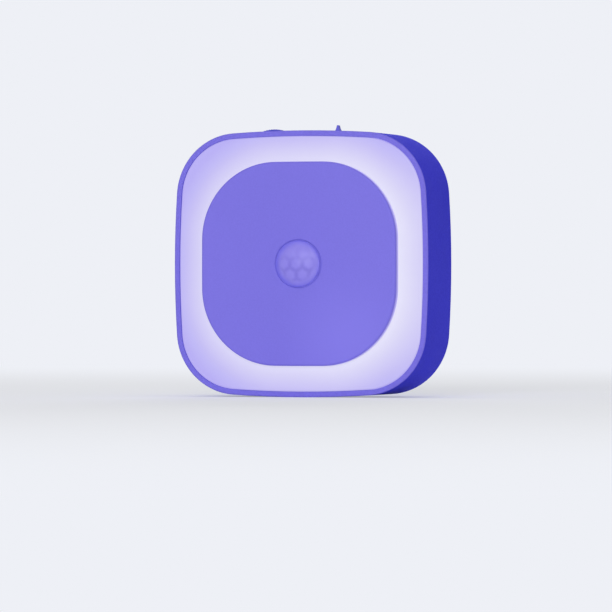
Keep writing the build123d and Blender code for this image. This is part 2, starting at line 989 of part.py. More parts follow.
def dimmer_wheel():
    z = wheel_centre()
    blank = pin(dimmer_x, z, wheel_radius, wheel_back, wheel_front)
    blank = chamfer(blank.edges(), wheel_edge_cut)
    wheel = blank & slab(Pos(dimmer_x, z) * wheel_outline(), wheel_back, wheel_front)
    wheel -= ring(
        dimmer_x, z, wheel_dish_inner, wheel_dish_outer, wheel_back, wheel_back + wheel_dish_depth
    )
    stop_middle = z + (stop_inner + stop_outer) / 2
    wheel += block(
        dimmer_x,
        stop_middle,
        stop_width,
        stop_outer - stop_inner,
        wheel_front,
        wheel_front + stop_height,
    )
    return wheel - pin(dimmer_x, z, shaft_radius + turn_gap, wheel_back, wheel_front)


# Spring contact on the wheel's face: a ring around the shaft with one arm.
def dimmer_wiper():
    z = wheel_centre()
    bore = shaft_collar_radius + 2 * turn_gap
    end = wheel_front + contact_strip
    arm = (contact_ring_radius + contact_arm_reach) / 2
    wiper = ring(dimmer_x, z, bore, contact_ring_radius, wheel_front, end)
    arm_length = contact_arm_reach - bore
    arm_middle = z - bore - arm_length / 2
    wiper += block(dimmer_x, arm_middle, contact_arm_width, arm_length, wheel_front, end)
    wiper += pin(dimmer_x, z - arm, contact_dimple_radius, end, dimmer_face - seat_gap)
    return wiper - pin(dimmer_x, z, bore, wheel_front, end)


# Track plate of the dimmer, with a tail for its terminals and a stop for the wheel.
def dimmer_base():
    z = wheel_centre()
    profile = Pos(dimmer_x, z) * Circle(dimmer_base_radius)
    tail = Pos(dimmer_x, z - tail_plate_reach / 2) * Rectangle(tail_plate_width, tail_plate_reach)
    base = slab(profile + tail, dimmer_face, board_back)
    stop_middle = z - (stop_inner + stop_outer) / 2
    base += block(
        dimmer_x,
        stop_middle,
        stop_width,
        stop_outer - stop_inner,
        dimmer_face - stop_height,
        dimmer_face,
    )
    return base - pin(dimmer_x, z, shaft_radius + snug_gap, dimmer_face, board_back)


# Rivet that the wheel turns on: shank, collar between base and wheel, and head.
def dimmer_shaft():
    z = wheel_centre()
    head_front = wheel_back - slide_gap
    shaft = pin(dimmer_x, z, shaft_radius, head_front, board_back)
    shaft += pin(dimmer_x, z, shaft_collar_radius, wheel_front + turn_gap, dimmer_face)
    head = pin(dimmer_x, z, shaft_head_radius, head_front - shaft_head_height, head_front)
    head = chamfer(head.faces().sort_by(Axis.Y)[-1].edges(), shaft_head_bevel)
    return shaft + head


# Strips that wrap over the end of the dimmer's tail down to the board.
def dimmer_terminals():
    end = wheel_centre() - tail_plate_reach
    strip = dimmer_pin_strip
    points = [
        (end - strip, board_back),
        (end, board_back),
        (end, dimmer_face),
        (end + dimmer_pin_overlap, dimmer_face),
        (end + dimmer_pin_overlap, dimmer_face - strip),
        (end - strip, dimmer_face - strip),
    ]
    places = [dimmer_x + dimmer_pin_pitch * step for step in (-1, 0, 1)]
    return Compound(
        children=[cross_section(points, 90, -x, dimmer_pin_width).solid() for x in places]
    )


def film_capacitor():
    x, z = film_at
    start = board_back - film_height
    body = block(x, z, *film_size, start, board_back)
    body = fillet(body.edges().filter_by(Axis.Y), film_round)
    return body + leads(x, z, film_lead_pitch, board_back)


# Electrolytic capacitor that lies on the board, with its leads bent down to it.
def input_capacitor():
    x, z = input_at
    centre = board_back - input_radius - seat_gap
    bottom = z - input_length / 2
    lead_z = bottom - lead_rise
    floor = Plane(origin=(x, -centre, body_rise + bottom), z_dir=(0, 0, 1))
    body = extrude(floor * Circle(input_radius), amount=input_length)
    body = chamfer(body.edges().filter_by(GeomType.CIRCLE), input_bevel)
    for side in (-0.5, 0.5):
        lead_x = side * input_lead_pitch
        lead_floor = Plane(origin=(x + lead_x, -centre, body_rise + lead_z), z_dir=(0, 0, 1))
        body += extrude(lead_floor * Circle(lead_radius), amount=lead_rise)
    return body + leads(x, lead_z, input_lead_pitch, centre)


def output_capacitor():
    x, z = output_at
    body = pin(x, z, output_radius, board_back - output_height, board_back)
    body = chamfer(body.faces().sort_by(Axis.Y)[-1].edges(), output_bevel)
    return body + leads(x, z, output_lead_pitch, board_back)


# Drum core with a narrow waist that the winding fills.
def inductor_core():
    x, z = inductor_at
    start = board_back - inductor_height
    core = pin(x, z, inductor_core_radius, start, board_back)
    core += pin(x, z, inductor_radius, start, start + inductor_cheek)
    core += pin(x, z, inductor_radius, board_back - inductor_cheek, board_back)
    return core + leads(x, z, inductor_lead_pitch, board_back)


def inductor_winding():
    x, z = inductor_at
    start = board_back - inductor_height + inductor_cheek
    end = board_back - inductor_cheek
    outer = inductor_radius - inductor_cheek / 2
    return ring(x, z, inductor_core_radius, outer, start, end)


# Fusible resistor: a bone-shaped body between two bent leads.
def fuse_resistor():
    x, z = fuse_at
    centre = board_back - fuse_radius - seat_gap
    start = Plane(origin=(x - fuse_length / 2, -centre, body_rise + z), z_dir=(1, 0, 0))
    body = extrude(start * Circle(fuse_waist_radius), amount=fuse_length)
    for shift in (0, fuse_length - fuse_cap):
        body += extrude(start.offset(shift) * Circle(fuse_radius), amount=fuse_cap)
    lead_start = start.offset((fuse_length - fuse_lead_pitch) / 2)
    body += extrude(lead_start * Circle(lead_radius), amount=fuse_lead_pitch)
    return body + leads(x, z, fuse_lead_pitch, centre)


def varistor():
    x, z = varistor_at
    centre = board_back - varistor_radius - lead_rise
    side = Plane(
        origin=(x, -centre, body_rise + z - varistor_thickness / 2), z_dir=(0, 0, 1)
    )
    body = extrude(side * Circle(varistor_radius), amount=varistor_thickness)
    body = chamfer(body.edges().filter_by(GeomType.CIRCLE), varistor_bevel)
    return body + leads(x, z, varistor_lead_pitch, centre)


# Bent lead of a surface-mounted part, from the side of its body down to the board.
def gull_lead(x, z, side):
    middle = board_back - chip_body_height / 2
    points = [
        (0, middle - gull_strip),
        (gull_reach - gull_foot, middle - gull_strip),
        (gull_reach - gull_foot, board_back - gull_strip),
        (gull_reach, board_back - gull_strip),
        (gull_reach, board_back),
        (gull_reach - gull_foot - gull_strip, board_back),
        (gull_reach - gull_foot - gull_strip, middle),
        (0, middle),
    ]
    shifted = [(side * z + reach, height) for reach, height in points]
    return cross_section(shifted, 90 * side, -side * x, gull_width)


# Moulded chip with a row of bent leads along its two long sides.
def chip(place, size, leads_per_side, pitch, height):
    x, z = place
    width, depth = size
    body = block(x, z, width, depth, board_back - height, board_back - gull_strip)
    for step in range(leads_per_side):
        lead_x = x + pitch * (step - (leads_per_side - 1) / 2)
        body += gull_lead(lead_x, z + depth / 2, 1)
        body += gull_lead(lead_x, z - depth / 2, -1)
    return body


def bridge_rectifier():
    return chip(bridge_at, bridge_size, bridge_lead_count, bridge_lead_pitch, bridge_height)


def driver_chip():
    return chip(driver_at, driver_size, driver_lead_count, chip_lead_pitch, chip_body_height)


def controller_chip():
    return chip(
        controller_at, controller_size, controller_lead_count, chip_lead_pitch, chip_body_height
    )


def chip_resistors():
    pieces = []
    for x, z in resistor_rows:
        for step in range(resistors_per_row):
            place = x + step * resistor_pitch
            body = block(place, z, *resistor_size, board_back - resistor_height, board_back)
            pieces.append(body.solid())
    return Compound(children=pieces)


def build():
    return {
        "housing": housing(),
        "back_cover": back_cover(),
        "diffuser_ring": diffuser_ring(),
        "front_panel": front_panel(),
        "sensor_lens": sensor_lens(),
        "lens_retainer": lens_retainer(),
        "sensor_baffle": sensor_baffle(),
        "sensor_can": sensor_can(),
        "sensor_window": sensor_window(),
        "sensor_header": sensor_header(),
        "light_sensor": light_sensor(),
        "circuit_board": circuit_board(),
        "board_screws": screws(post_places(), board_back, board_back + screw_length),
        "led_chips": led_chips(),
        "plug_blade_left": plug_blade(-blade_pitch / 2),
        "plug_blade_right": plug_blade(blade_pitch / 2),
        "blade_clamp": blade_clamp(),
        "clamp_screws": screws(clamp_screw_places(), clamp_top, clamp_top - clamp_screw_length),
        "blade_contact_left": blade_contact(-1),
        "blade_contact_right": blade_contact(1),
        "mode_knob": mode_knob(),
        "switch_frame": switch_frame(),
        "switch_base": switch_base(),
        "switch_terminals": switch_terminals(),
        "switch_slider": switch_slider(),
        "switch_wiper": switch_wiper(),
        "dimmer_wheel": dimmer_wheel(),
        "dimmer_wiper": dimmer_wiper(),
        "dimmer_base": dimmer_base(),
        "dimmer_shaft": dimmer_shaft(),
        "dimmer_terminals": dimmer_terminals(),
        "film_capacitor": film_capacitor(),
        "input_capacitor": input_capacitor(),
        "output_capacitor": output_capacitor(),
        "inductor_core": inductor_core(),
        "inductor_winding": inductor_winding(),
        "fuse_resistor": fuse_resistor(),
        "varistor": varistor(),
        "bridge_rectifier": bridge_rectifier(),
        "driver_chip": driver_chip(),
        "controller_chip": controller_chip(),
        "chip_resistors": chip_resistors(),
    }


os.makedirs("parts", exist_ok=True)
for node, piece in build().items():
    piece.label = node
    export_step(piece, f"parts/{node}.step")
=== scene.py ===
import math
from functools import partial

import bmesh
import bpy
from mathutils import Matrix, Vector
from mathutils.geometry import tessellate_polygon


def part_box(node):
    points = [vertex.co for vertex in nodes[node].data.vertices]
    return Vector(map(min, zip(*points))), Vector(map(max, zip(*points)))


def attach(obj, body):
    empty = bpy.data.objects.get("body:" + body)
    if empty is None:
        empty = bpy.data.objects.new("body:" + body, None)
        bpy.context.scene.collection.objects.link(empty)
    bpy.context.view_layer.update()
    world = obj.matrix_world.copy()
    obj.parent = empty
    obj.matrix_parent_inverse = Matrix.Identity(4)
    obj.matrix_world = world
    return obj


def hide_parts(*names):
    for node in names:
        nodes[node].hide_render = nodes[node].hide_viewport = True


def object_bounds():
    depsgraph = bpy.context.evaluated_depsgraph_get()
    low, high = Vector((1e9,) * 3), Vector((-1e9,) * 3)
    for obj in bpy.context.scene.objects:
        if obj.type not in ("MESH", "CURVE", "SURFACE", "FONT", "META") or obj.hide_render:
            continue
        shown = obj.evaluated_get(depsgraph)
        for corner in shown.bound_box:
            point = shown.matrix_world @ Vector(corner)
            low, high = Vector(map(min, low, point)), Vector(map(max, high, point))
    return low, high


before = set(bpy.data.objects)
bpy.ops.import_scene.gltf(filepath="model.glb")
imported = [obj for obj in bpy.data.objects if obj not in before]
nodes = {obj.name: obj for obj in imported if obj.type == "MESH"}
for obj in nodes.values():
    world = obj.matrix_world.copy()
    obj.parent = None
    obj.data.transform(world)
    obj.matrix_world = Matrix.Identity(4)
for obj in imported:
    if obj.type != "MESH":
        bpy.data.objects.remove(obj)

# Plug-in night light with a motion sensor, at its real size. Metres, +Z up, the front faces -Y.
# Forms are written in millimetres and turned to metres as they become meshes. A level is a
# distance forward of the rear face, so it is -Y.

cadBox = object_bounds()
mm = 0.001
modes = {  # the setting that holds a kind's main mode, where it isn't the operation
    "Mix": "data_type", "MapRange": "interpolation_type", "TexVoronoi": "feature",
    "TexWave": "bands_direction",
}


def hexColour(code):  # sRGB hex to the linear values that sockets take
    parts = [int(code[i:i + 2], 16) / 255 for i in (1, 3, 5)]
    return [p / 12.92 if p <= 0.04045 else ((p + 0.055) / 1.055) ** 2.4 for p in parts] + [1.0]


# One node: its kind, with its main mode after a space, and its inputs, named or in the order in
# which the node shows them. A node or a socket is linked, a dictionary stands for a Principled
# shader with those inputs, and a hex colour is turned to linear.
def addNode(tree, kind, inputs=(), stops=(), **settings):
    kind, _, mode = kind.partition(" ")
    node = tree.nodes.new("ShaderNode" + kind)
    if mode:
        setattr(node, modes.get(kind, "operation"), mode)
    for key, value in settings.items():
        setattr(node, key, value)
    for number, (place, code) in enumerate(stops):
        points = node.color_ramp.elements
        point = points[number] if number < len(points) else points.new(1.0)
        point.position, point.color = place, hexColour(code)
    if not isinstance(inputs, dict):
        inputs = dict(zip((key for key, socket in enumerate(node.inputs) if socket.enabled), inputs))
    for key, value in inputs.items():
        if isinstance(value, dict):
            value = addNode(tree, "BsdfPrincipled", value)
        if isinstance(value, bpy.types.Node):
            value = next(socket for socket in value.outputs if socket.enabled)
        if isinstance(value, bpy.types.NodeSocket):
            tree.links.new(value, node.inputs[key])
        else:
            node.inputs[key].default_value = hexColour(value) if isinstance(value, str) else value
    return node


def makeMaterial(name, finish, *details):  # the finish gives the last shader, or its inputs
    material = bpy.data.materials.new(name)
    material.use_nodes = True
    material.node_tree.nodes.clear()
    add = partial(addNode, material.node_tree)
    add("OutputMaterial", (finish(add, add("TexCoord").outputs["Object"], *details),))
    return material


def dress(finish, look, *details):  # CAD nodes keep their meshes and take a better finish
    material = makeMaterial(look["name"], finish, look, *details)
    for name in look["nodes"]:
        for slot in nodes[name].material_slots:
            slot.material = material
    return material


def addObject(name, data):
    made = bpy.data.objects.new(name, data)
    bpy.context.scene.collection.objects.link(made)
    return made


def scaleFor(size):  # texture scale for a feature of this size; object coordinates are metres
    return 1 / (size * mm)


def metres(sizes, *keys):
    return [sizes[key] * mm for key in keys]


def level(name, edge):  # front or rear level of a CAD node, in millimetres
    low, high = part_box(name)
    return -(low if edge == "front" else high).y / mm


# The panel's outline and the levels that pieces share, in millimetres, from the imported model.
# Its corner and side radii are the moulding's own.
panelLow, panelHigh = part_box("front_panel")
rise = (panelLow.z + panelHigh.z) / 2 / mm  # the body's middle over the blades'
rimLevel = level("housing", "front")
panelForm = {
    "half": (panelHigh.x - panelLow.x) / 2 / mm, "cornerRadius": 16.0, "sideRadius": 700.0,
    "faceLevel": level("front_panel", "front"),
}

print("moulded plastics")

toneStops = (0.3, 0.7)  # where the darker and the lighter tone of a moulding are reached
noiseSpan = (0.35, 0.65)  # where most of a noise texture's values lie


# What a shader takes for a look. "bump" is its strength and its depth in millimetres.
def surface(add, look, colour, height, rough=None):
    strength, depth = look["bump"]
    return {"Base Color": colour, "Roughness": rough or look["rough"], "IOR": look["ior"],
            "Normal": add("Bump", {"Strength": strength, "Distance": depth * mm, "Height": height}),
            "Specular IOR Level": look.get("sheen", 0.5)}


# Every moulded part: a slow drift of colour, a grain from the spark-eroded mould whose pits look
# a shade darker, and touched patches where handling has left it a little smoother. All three are
# sizes in millimetres. The real grain is about 0.1 mm; it is drawn coarser so that it shows.
def mouldedPlastic(add, place, look):
    drift = add("TexNoise", (place, scaleFor(look["drift"]), 3.0))
    grain = add("TexNoise", (place, scaleFor(look["grain"]), 2.0, 0.55))
    touch = add("TexNoise", (place, scaleFor(look["touch"]), 4.0))
    tone = add("Mix", (look.get("speckle", 0.4), drift, grain))
    colour = add("ValToRGB", (tone,), zip(toneStops, look["tones"]))
    return surface(add, look, colour, grain, add("MapRange", (touch, *noiseSpan, *look["rough"])))


def seenFromFront(add, place):  # without its depth, and from the middle of the body
    local = add("VectorMath SUBTRACT", (place, (0, 0, rise * mm)))
    return add("VectorMath MULTIPLY", (local, (1, 0, 1)))


# Distance in metres outward from the edge of a bowed square, seen from the front.
def bowedDistance(add, place, form):
    half, corner, side = metres(form, "half", "cornerRadius", "sideRadius")
    sideCentre = half - side
    centre = (sideCentre + math.sqrt(2 * (side - corner) ** 2 - sideCentre ** 2)) / 2
    axes = add("SeparateXYZ", (add("VectorMath ABSOLUTE", (seenFromFront(add, place),)),)).outputs
    larger, smaller = (add("Math " + way, (axes["X"], axes["Z"])) for way in ("MAXIMUM", "MINIMUM"))
    point = add("CombineXYZ", (larger, smaller))
    reaches = []
    for origin, radius in (((sideCentre, 0, 0), side), ((centre, centre, 0), corner)):
        reaches.append(add("Math SUBTRACT", (add("VectorMath DISTANCE", (point, origin)), radius)))
    slope = add("Math DIVIDE", (smaller, add("Math SUBTRACT", (larger, sideCentre))))
    inCorner = add("Math GREATER_THAN", (slope, centre / (centre - sideCentre)))
    return add("Mix", (inCorner, *reaches))


# 0 at one level to 1 at another, in millimetres, with soft ends.
def levelBlend(add, place, start, end):
    depth = add("SeparateXYZ", (place,)).outputs["Y"]
    return add("MapRange SMOOTHSTEP", (depth, -start * mm, -end * mm))


shellLook = {
    "name": "ABS, moulded satin", "nodes": ["housing"],
    "tones": ("#3a39d2", "#4a49e3"), "drift": 18.0, "speckle": 0.6,
    "rimTones": ("#726ad2", "#7c74dd"), "rimFrom": 0.34, "rimTo": 0.12,
    "insideFrom": 4.0, "insideTo": 2.5,
    "grain": 0.4, "bump": (1.0, 0.03), "touch": 9.0, "rough": (0.62, 0.72), "ior": 1.54, "sheen": 0.025,
}


# ABS, moulded in a spark-eroded tool: a soft satin sheen over a faint orange-peel grain. The
# lit ring bleeds into the thin front edge of the wall, and into its inside, and lifts its colour.
def satinShell(add, place, look):
    skin = mouldedPlastic(add, place, look)
    bleed, inside = (levelBlend(add, place, rimLevel - look[part + "From"], rimLevel - look[part + "To"])
                     for part in ("rim", "inside"))
    facing = add("VectorMath DOT_PRODUCT", (seenFromFront(add, place), add("TexCoord").outputs["Normal"]))
    lit = add("Math MULTIPLY", (add("Math LESS_THAN", (facing, 0.0)), inside))
    share = add("Math MAXIMUM", (lit, bleed))
    tone = skin["Base Color"].inputs["Fac"].links[0].from_node
    rim = add("ValToRGB", (tone,), zip(toneStops, look["rimTones"]))
    skin["Base Color"] = add("Mix RGBA", (share, skin["Base Color"], rim))
    return skin


coverLook = {
    **shellLook, "name": "ABS, moulded satin, rear", "nodes": ["back_cover"],
    "tones": ("#3c3bce", "#4a49dd"), "grain": 0.5, "bump": (1.0, 0.04),
    "markPlace": 15.5, "markRadius": 2.5, "markWidth": 0.18, "markDepth": 0.03,
}


# The same ABS behind: a coarser grain, and the faint rings that the ejector pins leave
def satinCover(add, place, look):
    skin = mouldedPlastic(add, place, look)
    spot, radius, width, depth = metres(look, "markPlace", "markRadius", "markWidth", "markDepth")
    folded = add("VectorMath ABSOLUTE", (seenFromFront(add, place),))
    offRing = add("Math SUBTRACT", (add("VectorMath DISTANCE", (folded, (spot, 0, spot))), radius))
    mark = add("MapRange SMOOTHSTEP", (add("Math ABSOLUTE", (offRing,)), 0.0, width))
    skin["Normal"] = add("Bump", {"Distance": depth, "Height": mark, "Normal": skin["Normal"]})
    return skin


panelLook = {
    "name": "ABS, moulded fine satin", "nodes": ["front_panel"],
    "tones": ("#7168d3", "#7970db"), "drift": 24.0, "speckle": 0.5,
    "edge": "#c3bcf6", "edgeFrom": 0.1, "edgeTo": 1.5, "edgeGlow": 0.12, "edgeClear": 10.0,
    "dust": "#7068d4", "dustFrom": 5.3, "dustTo": 4.9, "dustPlace": (0.1, 0.0, 0.0),
    "blush": "#7f76e1", "blushPlace": (11.0, 0.0, -15.5), "blushReach": 17.0, "blushShare": 0.75,
    "grain": 0.35, "bump": (1.0, 0.015), "touch": 12.0, "rough": (0.5, 0.6), "ior": 1.54, "sheen": 0.25,
}


# ABS from a finer tool than the shell's: flatter and more even to the eye, with a faint pale
# blush where the plastic entered the mould. Its outer wall stands in the ring's light and grows
# paler toward it, and a little dust darkens the rounded mouth round the lens.
def satinPanel(add, place, look):
    skin = mouldedPlastic(add, place, look)
    front, flat = panelForm["faceLevel"], seenFromFront(add, place)
    fromMiddle, fromGate, fromMouth = (
        add("VectorMath DISTANCE", (flat, Vector(spot) * mm))
        for spot in ((0, 0, 0), look["blushPlace"], look["dustPlace"]))
    wall = levelBlend(add, place, front - look["edgeFrom"], front - look["edgeTo"])
    edge = add("Math MULTIPLY", (wall, add("Math GREATER_THAN", (fromMiddle, look["edgeClear"] * mm))))
    blush = add("MapRange SMOOTHSTEP", (fromGate, look["blushReach"] * mm, 0.0, 0.0, look["blushShare"]))
    dust = add("MapRange SMOOTHSTEP", (fromMouth, *metres(look, "dustFrom", "dustTo")))
    for share, shade in ((blush, "blush"), (edge, "edge"), (dust, "dust")):
        skin["Base Color"] = add("Mix RGBA", (share, skin["Base Color"], look[shade]))
    skin["Emission Color"] = add("Mix RGBA", (edge, "#000000", look["edge"]))
    skin["Emission Strength"] = look["edgeGlow"]
    return skin


ringLook = {
    "name": "opal polycarbonate, moulded and lit", "nodes": ["diffuser_ring"],
    "stops": [(0.09, "#ebe9f8"), (0.225, "#e2e0f6"), (0.405, "#d7d3f4"), (0.586, "#ccc6f3"),
              (0.703, "#c4bdf2"), (0.811, "#beb7f3"), (0.991, "#b6adf2")],
    "nearest": -2.5, "farthest": 8.6,  # millimetres from the panel's edge that the stops span
    "lean": (-0.05, 0.0, 0.015),  # brighter toward +X and toward the bottom
    "liftFrom": 18.0, "lift": 0.03,  # and more so beyond this far toward +X
    "reflected": 0.28, "emitted": 0.7, "mottle": 3.0, "mottleShare": 0.3,
    "grain": 0.5, "bump": (0.3, 0.008), "rough": 0.4, "ior": 1.585, "sheen": 0.25,
}


# Opal polycarbonate, moulded and lit from behind by chips under the panel's edge: a milky
# glow that falls off across the ring and into its corners, under a faint gloss.
def litDiffuser(add, place, look):
    sideways = add("SeparateXYZ", (place,)).outputs["X"]
    beyond = add("Math MAXIMUM", (add("Math SUBTRACT", (sideways, look["liftFrom"] * mm)), 0.0))
    lifted = add("Math MULTIPLY_ADD", (beyond, -look["lift"] / mm, 1.0))
    depth = add("Math MULTIPLY", (bowedDistance(add, place, panelForm), lifted))
    leaning = add("Math ADD", (add("VectorMath DOT_PRODUCT", (place, look["lean"])), depth))
    mottle = add("TexNoise", (place, scaleFor(look["mottle"]), 2.0))
    mottled = add("Math MULTIPLY_ADD", (mottle, look["mottleShare"] * mm, leaning))
    share = add("MapRange", (mottled, *metres(look, "nearest", "farthest")))
    glow = add("ValToRGB", (share,), look["stops"])
    body = add("Mix RGBA", (1.0, glow, (look["reflected"],) * 3 + (1,)), blend_type="MULTIPLY")
    grain = add("TexNoise", (place, scaleFor(look["grain"]), 1.0))
    return {**surface(add, look, body, grain), "Emission Color": glow, "Emission Strength": look["emitted"]}


controlLook = {
    "knob": ("#605ecc", "#6866d4"), "wheel": ("#4341bb", "#4b49c6"), "drift": 5.0,
    "grain": 0.22, "bump": (0.5, 0.006), "touch": 2.5, "rough": (0.4, 0.52), "ior": 1.48, "sheen": 0.3,
}


def slickControl(part):  # acetal, moulded: a waxy gloss, worn a little shinier where a finger pushes
    look = {**controlLook, "tones": controlLook[part]}
    return makeMaterial("acetal, moulded, " + part, mouldedPlastic, look)


dress(satinShell, shellLook)
dress(satinCover, coverLook)
dress(satinPanel, panelLook)
dress(litDiffuser, ringLook)

print("lens, knob, thumbwheel and blades")


# A mesh object from points in millimetres, riding on a body in place of a CAD node.
def makePiece(name, points, faces, material, body, replaced, sharpAngle=40.0):
    mesh = bpy.data.meshes.new(name)
    mesh.from_pydata([Vector(point) * mm for point in points], [], faces)
    shell = bmesh.new()
    shell.from_mesh(mesh)
    bmesh.ops.recalc_face_normals(shell, faces=shell.faces)
    shell.to_mesh(mesh)
    shell.free()
    mesh.shade_smooth()
    mesh.set_sharp_from_angle(angle=math.radians(sharpAngle))
    mesh.materials.append(material)
    piece = addObject(name, mesh)
    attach(piece, body)
    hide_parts(replaced)
    return piece


# Quads between closed loops of one length, each loop given by the number of its first point.
def joinLoops(starts, count):
    faces = []
    for first, second in zip(starts, starts[1:]):
        for step in range(count):
            after = (step + 1) % count
            faces.append((first + step, first + after, second + after, second + step))
    return faces


# The thin lens in front of the sensor. Its outside is a shallow dome with one low ball for
# each cell, and neighbouring balls blend where they meet.
lensForm = {
    "radius": 4.72, "rise": 1.3, "edgeRound": 0.2, "skin": 0.5, "ledge": 0.17, "ledgeDepth": 0.12,
    "cellPitch": 2.7, "cellRadius": 4.4, "cellRise": 0.2, "blend": 0.05, "cellEdge": 0.8,
    "flangeRadius": 6.2, "flangeThickness": 0.6,
    "around": 144, "rings": 44, "ringsInside": 12, "ringSpread": 0.9,
}


def cellCentres():
    pitch = lensForm["cellPitch"]
    places = [(pitch * (column + row / 2), pitch * row * math.sqrt(0.75))
              for column in range(-3, 4) for row in range(-3, 4)]
    return [place for place in places if math.hypot(*place) < lensForm["radius"] + pitch]


def ballHeight(x, z, centre, radius):  # front of a ball over a point, or well below where it misses
    inside = radius ** 2 - (x - centre[0]) ** 2 - (z - centre[1]) ** 2
    return centre[2] + (math.sqrt(inside) if inside > 0 else -radius)


# Height over the panel's face, and how far into a cell the point lies, from 0 on a boundary to 1.
def lensSurface(x, z, centres):
    dome = (lensForm["radius"] ** 2 + lensForm["rise"] ** 2) / (2 * lensForm["rise"])
    share = (dome + lensForm["cellRise"] - lensForm["cellRadius"]) / dome
    heights = [ballHeight(x, z, (0, 0, 0), dome)]
    for cx, cz in centres:
        up = math.sqrt(dome ** 2 - cx ** 2 - cz ** 2)
        heights.append(ballHeight(x, z, (cx * share, cz * share, up * share), lensForm["cellRadius"]))
    top = max(heights)
    soft = top + lensForm["blend"] * math.log(sum(math.exp((h - top) / lensForm["blend"]) for h in heights))
    near = sorted(math.hypot(x - cx, z - cz) for cx, cz in centres)
    inward = (near[1] ** 2 - near[0] ** 2) / (2 * lensForm["cellPitch"])
    cell = min(1.0, inward / lensForm["cellEdge"])
    return soft - (dome - lensForm["rise"]), cell * cell * (3 - 2 * cell)


def makeLens(material):
    around, rings, layers = lensForm["around"], lensForm["rings"], lensForm["ringsInside"]
    radius, bend, high, skin = (lensForm[key] for key in ("radius", "edgeRound", "rise", "skin"))
    front, back = panelForm["faceLevel"], level("sensor_lens", "rear")
    centres = cellCentres()
    bore = radius - skin
    inner = (radius ** 2 + high ** 2) / (2 * high) - skin
    middle = front + high - skin - inner
    points, cells, starts = [], [], []

    def outside(x, z):
        height, cell = lensSurface(x, z, centres)
        over = max(0.0, math.hypot(x, z) - (radius - bend))
        return front + height - (bend - math.sqrt(max(0.0, bend ** 2 - over ** 2))), cell

    def inside(x, z):
        return middle + math.sqrt(inner ** 2 - x ** 2 - z ** 2), 1.0

    def addPoint(x, z, heightAt):
        height, cell = heightAt(x, z)
        points.append((x, -height, z + rise))
        cells.append(cell)

    def addLoop(reach, heightAt):
        starts.append(len(points))
        for step in range(around):
            turn = 2 * math.pi * step / around
            addPoint(reach * math.cos(turn), reach * math.sin(turn), heightAt)

    addPoint(0, 0, outside)
    for ring in range(1, rings + 1):
        addLoop(radius * math.sin(ring / rings * math.pi / 2) ** lensForm["ringSpread"], outside)
    ledge, flange = radius + lensForm["ledge"], lensForm["flangeRadius"]
    shelf, lip = front - lensForm["ledgeDepth"], back + lensForm["flangeThickness"]
    seat = [(radius, shelf), (ledge, shelf), (ledge, lip), (flange, lip), (flange, back), (bore, back)]
    for reach, height in seat:
        addLoop(reach, lambda x, z: (height, 1.0))
    for ring in range(layers):
        addLoop(bore * (1 - ring / layers), inside)
    addPoint(0, 0, inside)
    faces = joinLoops(starts, around)
    for start, tip in ((starts[0], 0), (starts[-1], len(points) - 1)):
        faces += [(start + step, start + (step + 1) % around, tip) for step in range(around)]
    lens = makePiece("lens", points, faces, material, "body", "sensor_lens",
                     sharpAngle=50.0)
    share = lens.data.attributes.new("cell", "FLOAT", "POINT")
    share.data.foreach_set("value", cells)


lensLook = {
    "cell": "#877ed7", "boundary": "#7a71ce", "edge": "#6b64d5",
    "tubeAside": 0.3, "edgeFrom": 3.5, "edgeTo": 5.1, "fadeFrom": 3.1, "fadeTo": 4.1,
    "cloudFrom": -0.6, "cloudTo": 2.4, "cloud": 0.8, "streaks": 0.9, "streak": 0.2,
    "soft": 0.35, "softReach": 1.0, "glow": 0.12,
    "grain": 0.2, "bump": (0.4, 0.003), "rough": 0.46, "ior": 1.53, "sheen": 0.3,
}


# High-density polythene, moulded thin: waxy, and milky enough that the cells show as soft pale
# spots, fainter toward the top and the rim where the skin is thicker. It darkens at the rim,
# where the dark tube stands behind it, a little to one side. Stray light inside gives it a
# slight glow.
def waxyLens(add, place, look):
    flat = seenFromFront(add, place)
    height = add("SeparateXYZ", (flat,)).outputs["Z"]
    reach, fromTube = (add("VectorMath DISTANCE", (flat, (aside * mm, 0, 0)))
                       for aside in (0, look["tubeAside"]))
    cloudy = add("MapRange SMOOTHSTEP", (height, *metres(look, "cloudFrom", "cloudTo"), 0.0, look["cloud"]))
    thick = add("MapRange SMOOTHSTEP", (reach, *metres(look, "fadeFrom", "fadeTo")))
    cell = add("Attribute", attribute_name="cell").outputs["Fac"]
    clear = add("Mix", (add("Math MAXIMUM", (cloudy, thick)), cell, 1.0))
    streak = add("TexNoise", (place, scaleFor(look["streaks"]), 2.0))
    clouded = add("Math MULTIPLY_ADD", (streak, look["streak"], clear))
    lift = look["streak"] / 2
    middle = add("Mix RGBA", (add("MapRange", (clouded, lift, 1 + lift)), look["boundary"], look["cell"]))
    rim = add("MapRange SMOOTHSTEP", (fromTube, *metres(look, "edgeFrom", "edgeTo")))
    colour = add("Mix RGBA", (rim, middle, look["edge"]))
    grain = add("TexNoise", (place, scaleFor(look["grain"]), 2.0))
    return {
        **surface(add, look, colour, grain), "Emission Color": colour, "Emission Strength": look["glow"],
        "Subsurface Weight": look["soft"], "Subsurface Radius": (1.0, 1.0, 1.0),
        "Subsurface Scale": look["softReach"] * mm}


makeLens(makeMaterial("polythene, moulded thin", waxyLens, lensLook))

# The slider's knob: a small ridge whose flanks curve in a little towards its crest, on a neck
# through the slot, with the sliding plate and the fork under the wall.
knobForm = {
    "width": 1.2, "depth": 1.7, "height": 1.3, "flankLean": 19.0, "endLean": 12.0, "hollow": 0.05,
    "cornerRound": 0.15, "crestRound": 0.18, "crestShare": 0.6, "sections": 9, "crestSections": 4,
    "plateLength": 10.4, "plateDepth": 4.8, "plateThickness": 1.0, "plateRound": 0.15,
    "forkWidth": 4.3, "forkDepth": 1.7, "forkHeight": 1.6, "forkSlot": 2.1, "forkRound": 0.1,
    "cornerSteps": 5, "plateSteps": 3,
}


